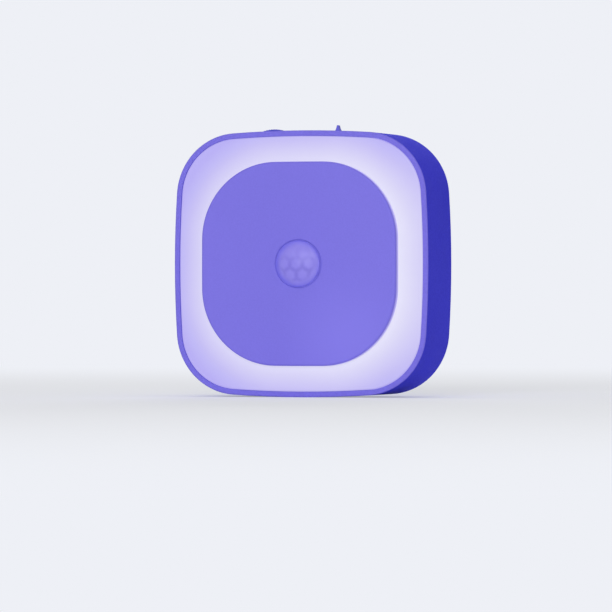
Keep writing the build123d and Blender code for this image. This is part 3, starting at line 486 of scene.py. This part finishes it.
# Corner-rounded rectangle as a loop of points about a middle
def roundedLoop(half, depth, corner, steps):
    loop = []
    for quarter, (side, end) in enumerate(((1, 1), (-1, 1), (-1, -1), (1, -1))):
        for step in range(steps + 1):
            turn = math.pi / 2 * (quarter + step / steps)
            loop.append((side * (half - corner) + corner * math.cos(turn),
                         end * (depth - corner) + corner * math.sin(turn)))
    return loop


# Closed skin over stacked loops: each row is (height, half width, half depth, corner radius)
def stackLoops(rows, steps, middle, points, faces):
    starts = []
    for height, half, depth, corner in rows:
        starts.append(len(points))
        loop = roundedLoop(half, depth, corner, steps)
        points += [(middle[0] + x, middle[1] + y, height) for x, y in loop]
    count = 4 * (steps + 1)
    faces += joinLoops(starts, count)
    first, last = (range(start, start + count) for start in (starts[0], starts[-1]))
    faces += [tuple(reversed(first)), tuple(last)]


def makeKnob(form, material):
    low, high = (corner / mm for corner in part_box("mode_knob"))
    middle = ((low.x + high.x) / 2, (low.y + high.y) / 2)
    base = high.z - form["height"]
    plateBottom = low.z + form["forkHeight"]
    plateTop = plateBottom + form["plateThickness"]
    halfWidth, halfDepth = form["width"] / 2, form["depth"] / 2
    corner, bend = form["cornerRound"], form["crestRound"]
    flankLean, endLean = (math.tan(math.radians(form[key])) for key in ("flankLean", "endLean"))
    points, faces = [], []
    rows = [(plateTop - corner, halfWidth, halfDepth, corner)]
    for section in range(form["sections"] + 1):
        up = section / form["sections"]
        height = up * (form["height"] - bend)
        hollow = form["hollow"] * math.sin(math.pi * up)
        rows.append((base + height, halfWidth - flankLean * height - hollow,
                     halfDepth - endLean * height - hollow, corner))
    _, halfWidth, halfDepth, _ = rows[-1]
    for section in range(1, form["crestSections"] + 1):
        turn = math.pi / 2 * section / form["crestSections"]
        inward = form["crestShare"] * bend * (1 - math.cos(turn))
        rows.append((high.z - bend * (1 - math.sin(turn)), halfWidth - inward, halfDepth - inward,
                     corner - inward))
    stackLoops(rows, form["cornerSteps"], middle, points, faces)
    half, depth, ease = form["plateLength"] / 2, form["plateDepth"] / 2, form["plateRound"]
    stackLoops([(plateBottom, half - ease, depth - ease, ease), (plateBottom + ease, half, depth, ease),
                (plateTop - ease, half, depth, ease), (plateTop, half - ease, depth - ease, ease)],
               form["plateSteps"], middle, points, faces)
    prong, depth = (form["forkWidth"] - form["forkSlot"]) / 4, form["forkDepth"] / 2
    ease, aside = form["forkRound"], form["forkSlot"] / 2 + prong
    for place in (middle[0] - aside, middle[0] + aside):
        stackLoops([(low.z, prong - ease, depth - ease, ease), (low.z + ease, prong, depth, ease),
                    (plateBottom + ease, prong, depth, ease)],
                   form["plateSteps"], (place, middle[1]), points, faces)
    makePiece("sliderKnob", points, faces, material, "mode_slider", "mode_knob",
              sharpAngle=45.0)


makeKnob(knobForm, slickControl("knob"))

# The dimmer's thumbwheel: rounded teeth with eased edges, a dish behind and a stop in front.
wheelForm = {
    "radius": 8.0, "teeth": 96, "toothDepth": 0.16, "toothPower": 1.5, "perTooth": 4,
    "thickness": 2.0, "edgeCut": 0.3, "bore": 1.25, "ease": 0.12, "nip": 0.06,
    "dishInner": 3.2, "dishOuter": 6.4, "dishDepth": 0.6,
    "stopInner": 3.6, "stopOuter": 4.5, "stopWidth": 1.0, "stopHeight": 0.4, "stopSink": 0.05,
}


def makeWheel(form, material):
    low, high = (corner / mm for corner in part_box("dimmer_wheel"))
    middle = ((low.x + high.x) / 2, (low.z + high.z) / 2)
    back, front = high.y, high.y - form["thickness"]  # the front is the more negative Y
    cut, ease, edge, nip = (form[key] for key in ("edgeCut", "ease", "radius", "nip"))
    inner, outer, bore = form["dishInner"], form["dishOuter"], form["bore"]
    floor, half = back - form["dishDepth"], nip / 2
    # Reach, place along the axle, and how much of a tooth's depth the loop follows
    rim = [(edge - cut - ease, 0, 0.2), (edge - cut + half, nip, 0.5), (edge - nip, cut - half, 1),
           (edge, cut + ease, 1)]
    rows = [(bore, front, 0), (bore, back, 0), (inner - ease, back, 0), (inner, back - ease, 0),
            (inner, floor + ease, 0), (inner + ease, floor, 0), (outer - ease, floor, 0),
            (outer, floor + ease, 0), (outer, back - ease, 0), (outer + ease, back, 0)]
    rows += [(reach, back - inset, share) for reach, inset, share in rim]
    rows += [(reach, front + inset, share) for reach, inset, share in reversed(rim)]
    count = form["teeth"] * form["perTooth"]
    points, starts = [], []
    for reach, along, share in rows:
        starts.append(len(points))
        for step in range(count):
            valley = 0.5 - 0.5 * math.cos(2 * math.pi * step / form["perTooth"])
            away = reach - share * form["toothDepth"] * valley ** form["toothPower"]
            turn = 2 * math.pi * step / count
            points.append((middle[0] + away * math.cos(turn), along, middle[1] + away * math.sin(turn)))
    faces = joinLoops(starts + starts[:1], count)
    bottom, top = middle[1] + form["stopInner"], middle[1] + form["stopOuter"]
    left, right = (middle[0] + side * form["stopWidth"] / 2 for side in (-1, 1))
    stopFront, first = front - form["stopHeight"], len(points)
    for along, less in ((front + form["stopSink"], 0), (stopFront + nip, 0), (stopFront, nip)):
        points += [(left + less, along, bottom + less), (right - less, along, bottom + less),
                   (right - less, along, top - less), (left + less, along, top - less)]
    faces += joinLoops([first, first + 4, first + 8], 4)
    faces += [tuple(range(start, start + 4)) for start in (first, first + 8)]
    makePiece("thumbwheel", points, faces, material, "dimmer", "dimmer_wheel",
              sharpAngle=45.0)


makeWheel(wheelForm, slickControl("wheel"))

# A plug blade: stamped strip with eased edges, a thinned tip and the detent hole. Its outline
# is in the blade's own plane, as distance behind the rear face and height from its middle.
bladeForm = {
    "width": 6.35, "thickness": 1.52, "length": 16.5, "tipCut": 1.2, "tipBevel": 0.4, "ease": 0.12,
    "easeMiddle": 0.3, "holeRadius": 1.6, "holeReach": 11.9, "holeSteps": 40,
    "seat": 4.5, "shoulderDepth": 2.0, "shoulderWidth": 9.5, "tailWidth": 3.0, "tailLength": 2.2,
}


def bladeOutline(form):
    half, shoulder, tail = (form[key] / 2 for key in ("width", "shoulderWidth", "tailWidth"))
    seat, step = -form["seat"], -form["seat"] - form["shoulderDepth"]
    tip, cut = form["length"], form["tipCut"]
    upper = [(step - form["tailLength"], tail), (step, tail), (step, shoulder), (seat, shoulder),
             (seat, half), (tip - cut, half), (tip, half - cut)]
    return upper + [(along, -up) for along, up in reversed(upper)]


# The same outline moved inward all round by a distance
def insetOutline(outline, distance):
    moved = []
    for before, here, after in zip(outline[-1:] + outline[:-1], outline, outline[1:] + outline[:1]):
        first = (Vector(here) - Vector(before)).normalized()
        second = (Vector(after) - Vector(here)).normalized()
        inward = Vector((first.y + second.y, -first.x - second.x)) / (1 + first.dot(second))
        moved.append(tuple(Vector(here) + inward * distance))
    return moved


def makeBlade(form, name, replaced, material):
    low, high = (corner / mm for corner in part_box(replaced))
    x, z = (low.x + high.x) / 2, (low.z + high.z) / 2
    half, ease, bevel = form["thickness"] / 2, form["ease"], form["tipBevel"]
    outline, steps = bladeOutline(form), form["holeSteps"]
    between = form["easeMiddle"] * ease
    layers = [(half, ease), (half - between, between), (half - ease, 0.0), (half - bevel, 0.0)]
    layers += [(-across, inset) for across, inset in reversed(layers)]
    points, outerStarts, holeStarts = [], [], []
    for across, inset in layers:
        outerStarts.append(len(points))
        thinned = form["length"] - max(0.0, bevel - (half - abs(across)))
        points += [(x + across, min(along, thinned), z + up) for along, up in insetOutline(outline, inset)]
    for across, inset in layers:
        holeStarts.append(len(points))
        reach = form["holeRadius"] + inset
        for step in range(steps):
            turn = 2 * math.pi * step / steps
            along = form["holeReach"] + reach * math.cos(turn)
            points.append((x + across, along, z + reach * math.sin(turn)))
    faces = joinLoops(outerStarts, len(outline)) + joinLoops(holeStarts, steps)
    for end in (0, -1):
        rings = [range(outerStarts[end], outerStarts[end] + len(outline)),
                 range(holeStarts[end], holeStarts[end] + steps)]
        numbers = [*rings[0], *rings[1]]
        flat = [[Vector(points[n]) for n in ring] for ring in rings]
        faces += [tuple(numbers[n] for n in triangle) for triangle in tessellate_polygon(flat)]
    makePiece(name, points, faces, material, "body", replaced, sharpAngle=30.0)


print("metals")

wornMetal = {"bump": 0.6, "markRough": 0.12, "pitReach": 0.16}  # the same for every metal


# Bare or plated metal: fine marks drawn out along one way, tarnish in soft clouds that is
# duller as well as darker, and here and there a small pit. A metal keeps the default IOR.
def workedMetal(add, place, look):
    drawn = add("VectorMath MULTIPLY", (place, look["drawn"]))
    marks = add("TexNoise", (drawn, scaleFor(look["marks"]), 3.0, 0.65))
    cloud = add("TexNoise", (place, scaleFor(look["clouds"]), 4.0))
    clean, dull = look["rough"]
    tarnished = add("MapRange", (cloud, *noiseSpan, dull, clean))
    pits = add("TexVoronoi", (place, scaleFor(look["pits"])))
    height = add("Math ADD", (marks, add("MapRange", (pits, 0.0, wornMetal["pitReach"], -1.0, 0.0))))
    return {
        "Metallic": 1.0,
        "Base Color": add("ValToRGB", (cloud,), [(0.32, look["tarnish"]), (0.58, look["clean"])]),
        "Roughness": add("Math MULTIPLY_ADD", (marks, wornMetal["markRough"], tarnished)),
        "Normal": add("Bump", {"Strength": wornMetal["bump"], "Distance": look["depth"] * mm,
                               "Height": height})}


# "drawn" squeezes the pattern on each axis: a small value stretches the marks along that axis.
# Marks, clouds and pits are sizes in millimetres, the marks drawn coarser than they are so that
# they show, and "rough" is for clean and tarnished metal.
metalLooks = {
    "brass": {  # stamped from strip, plated and tumbled: soft warm shine, small random scuffs
        "name": "nickel-plated brass, tumbled", "clean": "#d6d0c0", "tarnish": "#c6ba9b",
        "drawn": (1.0, 0.35, 1.0), "marks": 0.25, "depth": 0.006, "clouds": 5.0, "pits": 1.6,
        "rough": (0.2, 0.34), "nodes": [],
    },
    "bronze": {  # rolled strip: long straight lines and an orange cast
        "name": "phosphor bronze, rolled", "clean": "#c48f55", "tarnish": "#9a6235",
        "drawn": (1.0, 0.2, 1.0), "marks": 0.12, "depth": 0.004, "clouds": 2.5, "pits": 1.2,
        "rough": (0.26, 0.42),
        "nodes": ["blade_contact_left", "blade_contact_right", "switch_wiper", "dimmer_wiper"],
    },
    "steel": {  # deep-drawn cap and folded frame: cool grey, streaks along the draw
        "name": "tinned steel, drawn", "clean": "#b4b6ba", "tarnish": "#94969c", "drawn": (1.0, 0.15, 1.0),
        "marks": 0.18, "depth": 0.005, "clouds": 3.0, "pits": 1.5, "rough": (0.28, 0.42),
        "nodes": ["sensor_can", "switch_frame"],
    },
    "header": {  # turned disc, nickel plated: a little darker and softer
        "name": "nickel-plated steel, turned", "clean": "#9c9ea3", "tarnish": "#7e8086",
        "drawn": (1.0, 1.0, 1.0), "marks": 0.15, "depth": 0.004, "clouds": 2.0, "pits": 1.1,
        "rough": (0.32, 0.48), "nodes": ["sensor_header"],
    },
    "screw": {  # zinc plated and passivated: bluish grey with straw-coloured clouds
        "name": "steel screw, zinc plated", "clean": "#a9adb4", "tarnish": "#a09a82",
        "drawn": (1.0, 1.0, 0.3), "marks": 0.14, "depth": 0.006, "clouds": 1.4, "pits": 0.9,
        "rough": (0.3, 0.46), "nodes": ["board_screws", "clamp_screws"],
    },
    "tin": {  # hot tinned: satin, with the slight puddling of the molten coat
        "name": "copper strip, hot tinned", "clean": "#c3c5ca", "tarnish": "#a4a6ad",
        "drawn": (1.0, 0.5, 1.0), "marks": 0.3, "depth": 0.008, "clouds": 0.9, "pits": 1.3,
        "rough": (0.3, 0.44), "nodes": ["switch_terminals", "dimmer_terminals", "dimmer_shaft"],
    },
}
metals = {key: dress(workedMetal, look) for key, look in metalLooks.items()}
for side in ("left", "right"):
    makeBlade(bladeForm, side + "Blade", "plug_blade_" + side, metals["brass"])

print("board and the parts on it")

boardBack = level("circuit_board", "rear")
leadClear = 0.02


def tinned(add, place, body, share):  # tinned copper where the share is 1
    return add("MixShader", (share, body, workedMetal(add, place, metalLooks["tin"])))


def leadedMoulding(add, place, look):  # its leads stand forward of the board's rear face
    share = levelBlend(add, place, boardBack - leadClear, boardBack + leadClear)
    return tinned(add, place, mouldedPlastic(add, place, look), share)


# Plainly moulded, cast, dipped or pressed parts inside, each with its own grain.
innerLooks = {
    "baffle": {  # glass-filled: a coarse dry grain that swallows stray light
        "name": "glass-filled nylon, moulded", "tones": ("#191a1d", "#212226"), "drift": 6.0,
        "grain": 0.18, "bump": (0.8, 0.02), "touch": 3.0, "rough": (0.6, 0.78), "ior": 1.53, "sheen": 0.4,
        "finish": mouldedPlastic, "nodes": ["lens_retainer", "sensor_baffle", "blade_clamp"],
    },
    "slider": {  # unfilled: smoother and a little shinier on its rubbing faces
        "name": "nylon, moulded", "tones": ("#1d1d1f", "#262628"), "drift": 3.0,
        "grain": 0.12, "bump": (0.5, 0.006), "touch": 1.2, "rough": (0.38, 0.52), "ior": 1.53, "sheen": 0.45,
        "finish": mouldedPlastic, "nodes": ["switch_slider"],
    },
    "eye": {  # cast dark epoxy, glossy, that lets infrared through
        "name": "dark epoxy, cast", "tones": ("#24242c", "#31313b"), "drift": 1.0,
        "grain": 0.15, "bump": (0.4, 0.003), "touch": 0.8, "rough": (0.1, 0.2), "ior": 1.55,
        "finish": mouldedPlastic, "nodes": ["light_sensor"],
    },
    "film": {  # glossy moulded box, its resin fill darker at the foot
        "name": "polyester box, moulded", "tones": ("#c39c20", "#cfa92e"), "drift": 4.0,
        "grain": 0.2, "bump": (0.5, 0.008), "touch": 2.0, "rough": (0.26, 0.38), "ior": 1.57,
        "finish": leadedMoulding, "nodes": ["film_capacitor"],
    },
    "ferrite": {  # sintered: dry, dark and speckled, with crumbs gone from the surface
        "name": "ferrite, sintered", "tones": ("#29292b", "#3a3a3d"), "drift": 0.4,
        "grain": 0.1, "bump": (0.9, 0.02), "touch": 0.8, "rough": (0.6, 0.8), "ior": 2.0, "sheen": 0.4,
        "finish": leadedMoulding, "nodes": ["inductor_core"],
    },
    "varistor": {  # dipped epoxy: an uneven orange-peel gloss
        "name": "blue epoxy, dipped", "tones": ("#26477f", "#325798"), "drift": 1.5,
        "grain": 0.6, "bump": (0.6, 0.04), "touch": 1.5, "rough": (0.22, 0.4), "ior": 1.55,
        "finish": leadedMoulding, "nodes": ["varistor"],
    },
}
for look in innerLooks.values():
    dress(look["finish"], look)

phenolicLook = {
    "name": "phenolic paper board, pressed", "nodes": ["switch_base", "dimmer_base"],
    "tones": ("#5b3820", "#77502f"), "fleck": "#8d6a45", "layer": 0.25, "waviness": 1.5,
    "flecks": 0.35, "fleckSpan": (0.62, 0.7), "bump": (0.5, 0.01), "rough": 0.55, "ior": 1.6,
}


def waveScale(size):  # a wave texture repeats every 2 pi
    return scaleFor(size) / (2 * math.pi)


# Paper-filled phenolic: brown, layered across its thickness, with pale flecks
def pressedBoard(add, place, look):
    layers = add("TexWave Y", (place, waveScale(look["layer"]), look["waviness"], 2.0)).outputs["Fac"]
    colour = add("ValToRGB", (layers,), zip((0.2, 0.8), look["tones"]))
    fleck = add("TexNoise", (place, scaleFor(look["flecks"]), 3.0))
    flecked = add("Mix RGBA", (add("MapRange", (fleck, *look["fleckSpan"])), colour, look["fleck"]))
    return surface(add, look, flecked, fleck)


dress(pressedBoard, phenolicLook)

boardLook = {
    "name": "glass epoxy laminate, solder masked", "nodes": ["circuit_board"],
    "mask": "#e4e6e6", "maskLow": "#dcdfdf", "core": "#b9b48a", "track": "#d3d9cf",
    "weave": 0.5, "waviness": 0.4, "weaveShare": 0.008 / 0.03,  # the weave's height against a track's
    "trackPitch": 2.54, "trackBend": 9.0, "trackShift": 6.0, "trackCell": 7.0, "trackStray": 0.6,
    "trackWidth": 0.14,
    "bump": (0.7, 0.03), "rough": 0.32, "ior": 1.5,
}


# Glass-epoxy laminate under white solder mask: glossy, with the weave just showing, the raised
# lines of the copper tracks under it, and the greenish core along the cut edge.
def circuitLaminate(add, place, look):
    weaves = [add("TexWave " + way, (place, waveScale(look["weave"]), look["waviness"])).outputs["Fac"]
              for way in ("X", "Z")]
    weave = add("Math MULTIPLY", weaves)
    bent = add("TexNoise", (place, scaleFor(look["trackBend"]), 0.0)).outputs["Color"]
    shift = add("VectorMath MULTIPLY_ADD", (bent, (look["trackShift"] * mm,) * 3, place))
    steps = add("VectorMath SNAP", (shift, (look["trackPitch"] * mm,) * 3))
    cells = add("TexVoronoi DISTANCE_TO_EDGE", {"Vector": steps, "Scale": scaleFor(look["trackCell"]),
                                                "Randomness": look["trackStray"]})
    track = add("Math LESS_THAN", (cells, look["trackWidth"]))
    mask = add("ValToRGB", (weave,), [(0.0, look["maskLow"]), (1.0, look["mask"])])
    axes = add("SeparateXYZ", (add("NewGeometry").outputs["True Normal"],)).outputs
    flat = add("Math GREATER_THAN", (add("Math ABSOLUTE", (axes["Y"],)), 0.5))
    colour = add("Mix RGBA", (flat, look["core"], add("Mix RGBA", (track, mask, look["track"]))))
    relief = add("Math MULTIPLY_ADD", (weave, look["weaveShare"], track))
    return surface(add, look, colour, relief)


dress(circuitLaminate, boardLook)

chipLightLook = {
    "name": "white package, phosphor filled", "nodes": ["led_chips"],
    "package": "#e9eae6", "gel": "#f0dc7c", "glow": "#fff3d0", "glowStrength": 0.6,
    "inset": 1.0, "gelFrom": 0.85, "gelTo": 0.7, "grain": 0.15, "bump": (0.3, 0.01),
    "rough": 0.35, "ior": 1.52,
}


# White package with a strip of yellow phosphor gel along its middle. The chips stand on a line
# inside the panel's edge, so the gel is the part near that line and on the front.
def phosphorPackage(add, place, look):
    off = add("Math ADD", (bowedDistance(add, place, panelForm), look["inset"] * mm))
    strip = add("MapRange", (add("Math ABSOLUTE", (off,)), *metres(look, "gelFrom", "gelTo")))
    facing = add("SeparateXYZ", (add("NewGeometry").outputs["True Normal"],)).outputs["Y"]
    share = add("Math MULTIPLY", (strip, add("Math LESS_THAN", (facing, -0.5))))
    grain = add("TexNoise", (place, scaleFor(look["grain"]), 2.0))
    gel = add("Mix RGBA", (grain, look["gel"], look["glow"]))
    colour = add("Mix RGBA", (share, look["package"], gel))
    return {
        **surface(add, look, colour, grain), "Emission Strength": look["glowStrength"],
        "Emission Color": add("Mix RGBA", (share, "#000000", look["glow"]))}


dress(phosphorPackage, chipLightLook)

windowLook = {
    "name": "silicon filter, coated", "nodes": ["sensor_window"],
    "deep": "#2c2733", "flash": "#6a5a86", "blotch": 1.2, "blotchShare": 0.25, "slant": 0.35,
    "rough": 0.12, "ior": 3.4,
}


# Infrared filter: near black, with the purple flash of its coating at a slant
def coatedSilicon(add, place, look):
    slant = add("LayerWeight", (look["slant"],)).outputs["Facing"]
    blotch = add("TexNoise", (place, scaleFor(look["blotch"]), 2.0))
    share = add("Math MULTIPLY_ADD", (blotch, look["blotchShare"], slant))
    colour = add("ValToRGB", (share,), [(0.1, look["deep"]), (0.9, look["flash"])])
    return {"Base Color": colour, "IOR": look["ior"], "Roughness": look["rough"]}


dress(coatedSilicon, windowLook)

sleeveLook = {
    "name": "PET sleeve, shrunk on aluminium", "tones": ("#1f1f25", "#2a2a31"), "drift": 5.0,
    "grain": 0.4, "bump": (0.4, 0.01), "touch": 2.0, "rough": (0.18, 0.3), "ior": 1.54,
    "stripe": "#8f8f96", "stripeReach": 0.92, "lid": "#c9cbcf", "lidMargin": 0.75, "lidSkin": 0.05,
}


# Electrolytic can in a shrunk sleeve: glossy and dark with a grey stripe, and the bare
# aluminium lid showing inside the sleeve's turned-over end. "way" is the axis of the can.
def shrunkSleeve(add, place, look, node, way, length):
    skin = mouldedPlastic(add, place, look)
    low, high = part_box(node)
    radius = (high.x - low.x) / 2
    keep, end = ((1, 0, 1), high.y) if way == "Y" else ((1, 1, 0), high.z)
    middle = Vector(((low.x + high.x) / 2, high.y - radius, (low.z + high.z) / 2))
    around = add("VectorMath MULTIPLY", (add("VectorMath SUBTRACT", (place, middle)), keep))
    side = add("SeparateXYZ", (add("VectorMath NORMALIZE", (around,)),)).outputs["X"]
    stripe = add("Math GREATER_THAN", (side, look["stripeReach"]))
    skin["Base Color"] = add("Mix RGBA", (stripe, skin["Base Color"], look["stripe"]))
    lid = workedMetal(add, place, {**metalLooks["tin"], "clean": look["lid"]})
    along = add("SeparateXYZ", (place,)).outputs[way]
    atEnd = add("Math GREATER_THAN", (along, end - look["lidSkin"] * mm))
    reach = add("VectorMath LENGTH", (around,))
    onLid = add("Math MULTIPLY", (atEnd, add("Math LESS_THAN", (reach, radius - look["lidMargin"] * mm))))
    capped = add("MixShader", (onLid, skin, lid))
    return tinned(add, place, capped, add("Math LESS_THAN", (along, end - length * mm)))


for node, way, length in (("input_capacitor", "Z", 11.0), ("output_capacitor", "Y", 7.0)):
    dress(shrunkSleeve, {**sleeveLook, "nodes": [node]}, node, way, length)

windingLook = {
    "name": "enamelled copper wire, wound", "nodes": ["inductor_winding"],
    "copper": "#ad5a30", "gap": "#5f2c14", "wire": 0.32, "waviness": 0.3, "clouds": 0.8,
    "cloudShare": 0.3, "bump": (0.8, 0.08), "rough": 0.3, "coat": 0.6, "coatRough": 0.12,
}


# Enamelled wire laid turn on turn: fine rounded rings under a clear varnish
def woundCopper(add, place, look):
    turns = add("TexWave Y", (place, waveScale(look["wire"]), look["waviness"])).outputs["Fac"]
    cloud = add("TexNoise", (place, scaleFor(look["clouds"]), 2.0))
    shade = add("Math MULTIPLY_ADD", (cloud, look["cloudShare"], turns))
    strength, depth = look["bump"]
    return {
        "Base Color": add("ValToRGB", (shade,), [(0.1, look["gap"]), (0.6, look["copper"])]),
        "Normal": add("Bump", {"Strength": strength, "Distance": depth * mm, "Height": turns}),
        "Metallic": 1.0, "Roughness": look["rough"],
        "Coat Weight": look["coat"], "Coat Roughness": look["coatRough"]}


dress(woundCopper, windingLook)

fuseLook = {
    **innerLooks["varistor"], "name": "flameproof lacquer, dipped and banded", "nodes": ["fuse_resistor"],
    "tones": ("#3a6541", "#47774f"), "bump": (0.6, 0.02), "length": 7.0, "wear": 0.35,
    # Bands of a 10 ohm fusible resistor along the body, each starting at its share of the length
    "bands": [(0.0, "#41704a"), (0.14, "#5a3419"), (0.2, "#41704a"), (0.32, "#161616"), (0.38, "#41704a"),
              (0.5, "#161616"), (0.56, "#41704a"), (0.78, "#a98443"), (0.84, "#41704a")],
}


# Flameproof lacquer over a wound rod: an uneven satin green with painted colour bands
def bandedLacquer(add, place, look):
    skin = mouldedPlastic(add, place, look)
    low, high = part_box("fuse_resistor")
    middle, half = (low.x + high.x) / 2, look["length"] / 2 * mm
    along = add("SeparateXYZ", (place,)).outputs["X"]
    bands = add("ValToRGB", (add("MapRange", (along, middle - half, middle + half)),), look["bands"])
    bands.color_ramp.interpolation = "CONSTANT"
    skin["Base Color"] = add("Mix RGBA", (look["wear"], bands, skin["Base Color"]), blend_type="MULTIPLY")
    away = add("Math ABSOLUTE", (add("Math SUBTRACT", (along, middle)),))
    return tinned(add, place, skin, add("Math GREATER_THAN", (away, half)))


dress(bandedLacquer, fuseLook)

epoxyLook = {
    "name": "filled epoxy, transfer moulded", "tones": ("#161618", "#1f1f21"), "drift": 2.0,
    "grain": 0.08, "bump": (0.7, 0.006), "touch": 1.5, "rough": (0.5, 0.66), "ior": 1.58, "sheen": 0.4,
    "bodyDepth": 3.9, "dimpleRadius": 0.35, "dimpleFlat": 0.245, "dimpleInset": 0.8, "dimpleDepth": 0.08,
}


# Chip body: matt black and finely gritty with a round dimple by its first lead. What stands
# out of its long sides is lead.
def mouldedChip(add, place, look, node):
    skin = mouldedPlastic(add, place, look)
    low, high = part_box(node)
    middle, half = (low.z + high.z) / 2, look["bodyDepth"] / 2 * mm
    inset, depth = metres(look, "dimpleInset", "dimpleDepth")
    flat = add("VectorMath MULTIPLY", (place, (1, 0, 1)))
    away = add("VectorMath DISTANCE", (flat, (low.x + inset, 0, middle - half + inset)))
    dimple = add("MapRange SMOOTHSTEP", (away, *metres(look, "dimpleFlat", "dimpleRadius")))
    skin["Normal"] = add("Bump", {"Distance": depth, "Height": dimple, "Normal": skin["Normal"]})
    height = add("SeparateXYZ", (place,)).outputs["Z"]
    span = add("Math ABSOLUTE", (add("Math SUBTRACT", (height, middle)),))
    return tinned(add, place, skin, add("Math GREATER_THAN", (span, half)))


for node in ("bridge_rectifier", "driver_chip", "controller_chip"):
    dress(mouldedChip, {**epoxyLook, "nodes": [node]}, node)

resistorLook = {
    **epoxyLook, "name": "glazed alumina chip, tinned ends", "nodes": ["chip_resistors"],
    "tones": ("#17181c", "#22242a"), "rough": (0.22, 0.34),
    "pitch": 3.2, "endFrom": 0.68, "gap": 1.85, "length": 2.0,
}


# Row of glazed chips: each is dark in the middle and tinned at both ends, found from its place
# in the row. The two rows start at different places.
def glazedChips(add, place, look):
    driverLow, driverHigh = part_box("driver_chip")
    chipsLow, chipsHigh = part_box("chip_resistors")
    upper = (driverLow.x + driverHigh.x) / 2
    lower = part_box("input_capacitor")[1].x + (look["gap"] + look["length"] / 2) * mm
    axes = add("SeparateXYZ", (place,)).outputs
    inUpper = add("Math GREATER_THAN", (axes["Z"], (chipsLow.z + chipsHigh.z) / 2))
    shifted = add("Math SUBTRACT", (axes["X"], add("Mix", (inUpper, lower, upper))))
    near = add("Math PINGPONG", (shifted, look["pitch"] / 2 * mm))
    atEnd = add("Math GREATER_THAN", (near, look["endFrom"] * mm))
    return tinned(add, place, mouldedPlastic(add, place, look), atEnd)


dress(glazedChips, resistorLook)

print("floor, lamps and camera")

stageLook = {
    "floorColour": "#f6f7fa", "background": "#eef0f6", "floorHalf": 3.0,
    "fadeFrom": 0.08, "fadeTo": 0.55, "haze": 0.4, "ambient": 0.34,  # the fade is in metres
    "grain": 2.5, "bump": (0.2, 0.1),
}


def seenRays(add, *kinds):  # 1 for what the camera sees in these ways
    rays = add("LightPath").outputs
    share = rays[kinds[0]]
    for kind in kinds[1:]:
        share = add("Math MAXIMUM", (share, rays[kind]))
    return share


# Pale, faintly grained, and fading into the background away from the object
def mattPaper(add, place, look):
    strength, depth = look["bump"]
    grain = add("TexNoise", (place, scaleFor(look["grain"]), 3.0))
    bump = add("Bump", {"Strength": strength, "Distance": depth * mm, "Height": grain})
    paper = add("BsdfDiffuse", {"Color": look["floorColour"], "Normal": bump})
    far = add("VectorMath LENGTH", (place,))
    fade = add("MapRange SMOOTHSTEP", (far, look["fadeFrom"], look["fadeTo"], look["haze"]))
    share = add("Math MULTIPLY", (fade, seenRays(add, "Is Camera Ray", "Is Glossy Ray")))
    return add("MixShader", (share, paper, add("Emission", (look["background"],))))


def makeFloor():
    mesh = bpy.data.meshes.new("floor")
    half, z = stageLook["floorHalf"], cadBox[0].z
    corners = [(-half, -half, z), (half, -half, z), (half, half, z), (-half, half, z)]
    mesh.from_pydata(corners, [], [(0, 1, 2, 3)])
    mesh.materials.append(makeMaterial("paper, matt", mattPaper, stageLook))
    floor = addObject("floor", mesh)


def makeWorld():  # soft even light all round, seen as a pale background
    world = bpy.data.worlds.new("studio")
    world.use_nodes = True
    world.node_tree.nodes.clear()
    add = partial(addNode, world.node_tree)
    seen = seenRays(add, "Is Camera Ray", "Is Glossy Ray", "Is Transmission Ray")
    soft = add("Background", ("#ffffff", stageLook["ambient"]))
    shown = add("Background", (stageLook["background"], 1.0))
    add("OutputWorld", (add("MixShader", (seen, soft, shown)),))
    bpy.context.scene.world = world


# Direction from the object, distance and size in metres, and power in watts. The back one only
# fills, so it isn't mirrored in the satin walls.
lamps = {
    "keySoftbox": {"way": (0.12, -0.96, 0.22), "distance": 1.5, "size": 0.9, "power": 13.4},
    "sideSoftbox": {"way": (1.0, -0.4, 0.3), "distance": 1.6, "size": 1.0, "power": 0.4},
    "backSoftbox": {"way": (-0.2, 1.0, 0.35), "distance": 1.6, "size": 1.1, "power": 10.0, "mirrored": False},
    "topSoftbox": {"way": (0.0, -0.05, 1.0), "distance": 1.6, "size": 1.2, "power": 4.0},
}


def makeLamps(target):
    for name, lamp in lamps.items():
        data = bpy.data.lights.new(name, "AREA")
        data.shape = "DISK"
        data.size = lamp["size"]
        data.energy = lamp["power"]
        softbox = addObject(name, data)
        way = Vector(lamp["way"]).normalized()
        softbox.location = target + way * lamp["distance"]
        softbox.rotation_euler = (-way).to_track_quat("-Z", "Y").to_euler()
        softbox.visible_glossy = lamp.get("mirrored", True)


cameraSet = {
    "turn": 18.2, "distance": 1031.5, "aside": 1.41, "drop": 8.69, "edgeBehindFace": 0.8,
    "lens": 294.8, "sensor": 36.0, "near": 0.05, "far": 20.0,  # near and far in metres
}


# Level, a little to the right of the front, and far enough away to flatten the view
def makeCamera():
    turn = math.radians(cameraSet["turn"])
    back = Vector((math.sin(turn), -math.cos(turn), 0))
    right = Vector((math.cos(turn), math.sin(turn), 0))
    front = Vector((0, cameraSet["edgeBehindFace"] - panelForm["faceLevel"], rise))
    data = bpy.data.cameras.new("camera")
    data.lens, data.sensor_width = cameraSet["lens"], cameraSet["sensor"]
    data.clip_start, data.clip_end = cameraSet["near"], cameraSet["far"]
    camera = addObject("camera", data)
    place = front + back * cameraSet["distance"] + right * cameraSet["aside"]
    place.z -= cameraSet["drop"]
    camera.location = place * mm
    camera.rotation_euler = (math.pi / 2, 0, turn)
    bpy.context.scene.camera = camera


makeFloor()
makeWorld()
makeLamps((cadBox[0] + cadBox[1]) / 2)
makeCamera()
bpy.context.scene.view_settings.view_transform = "Standard"

print("done")
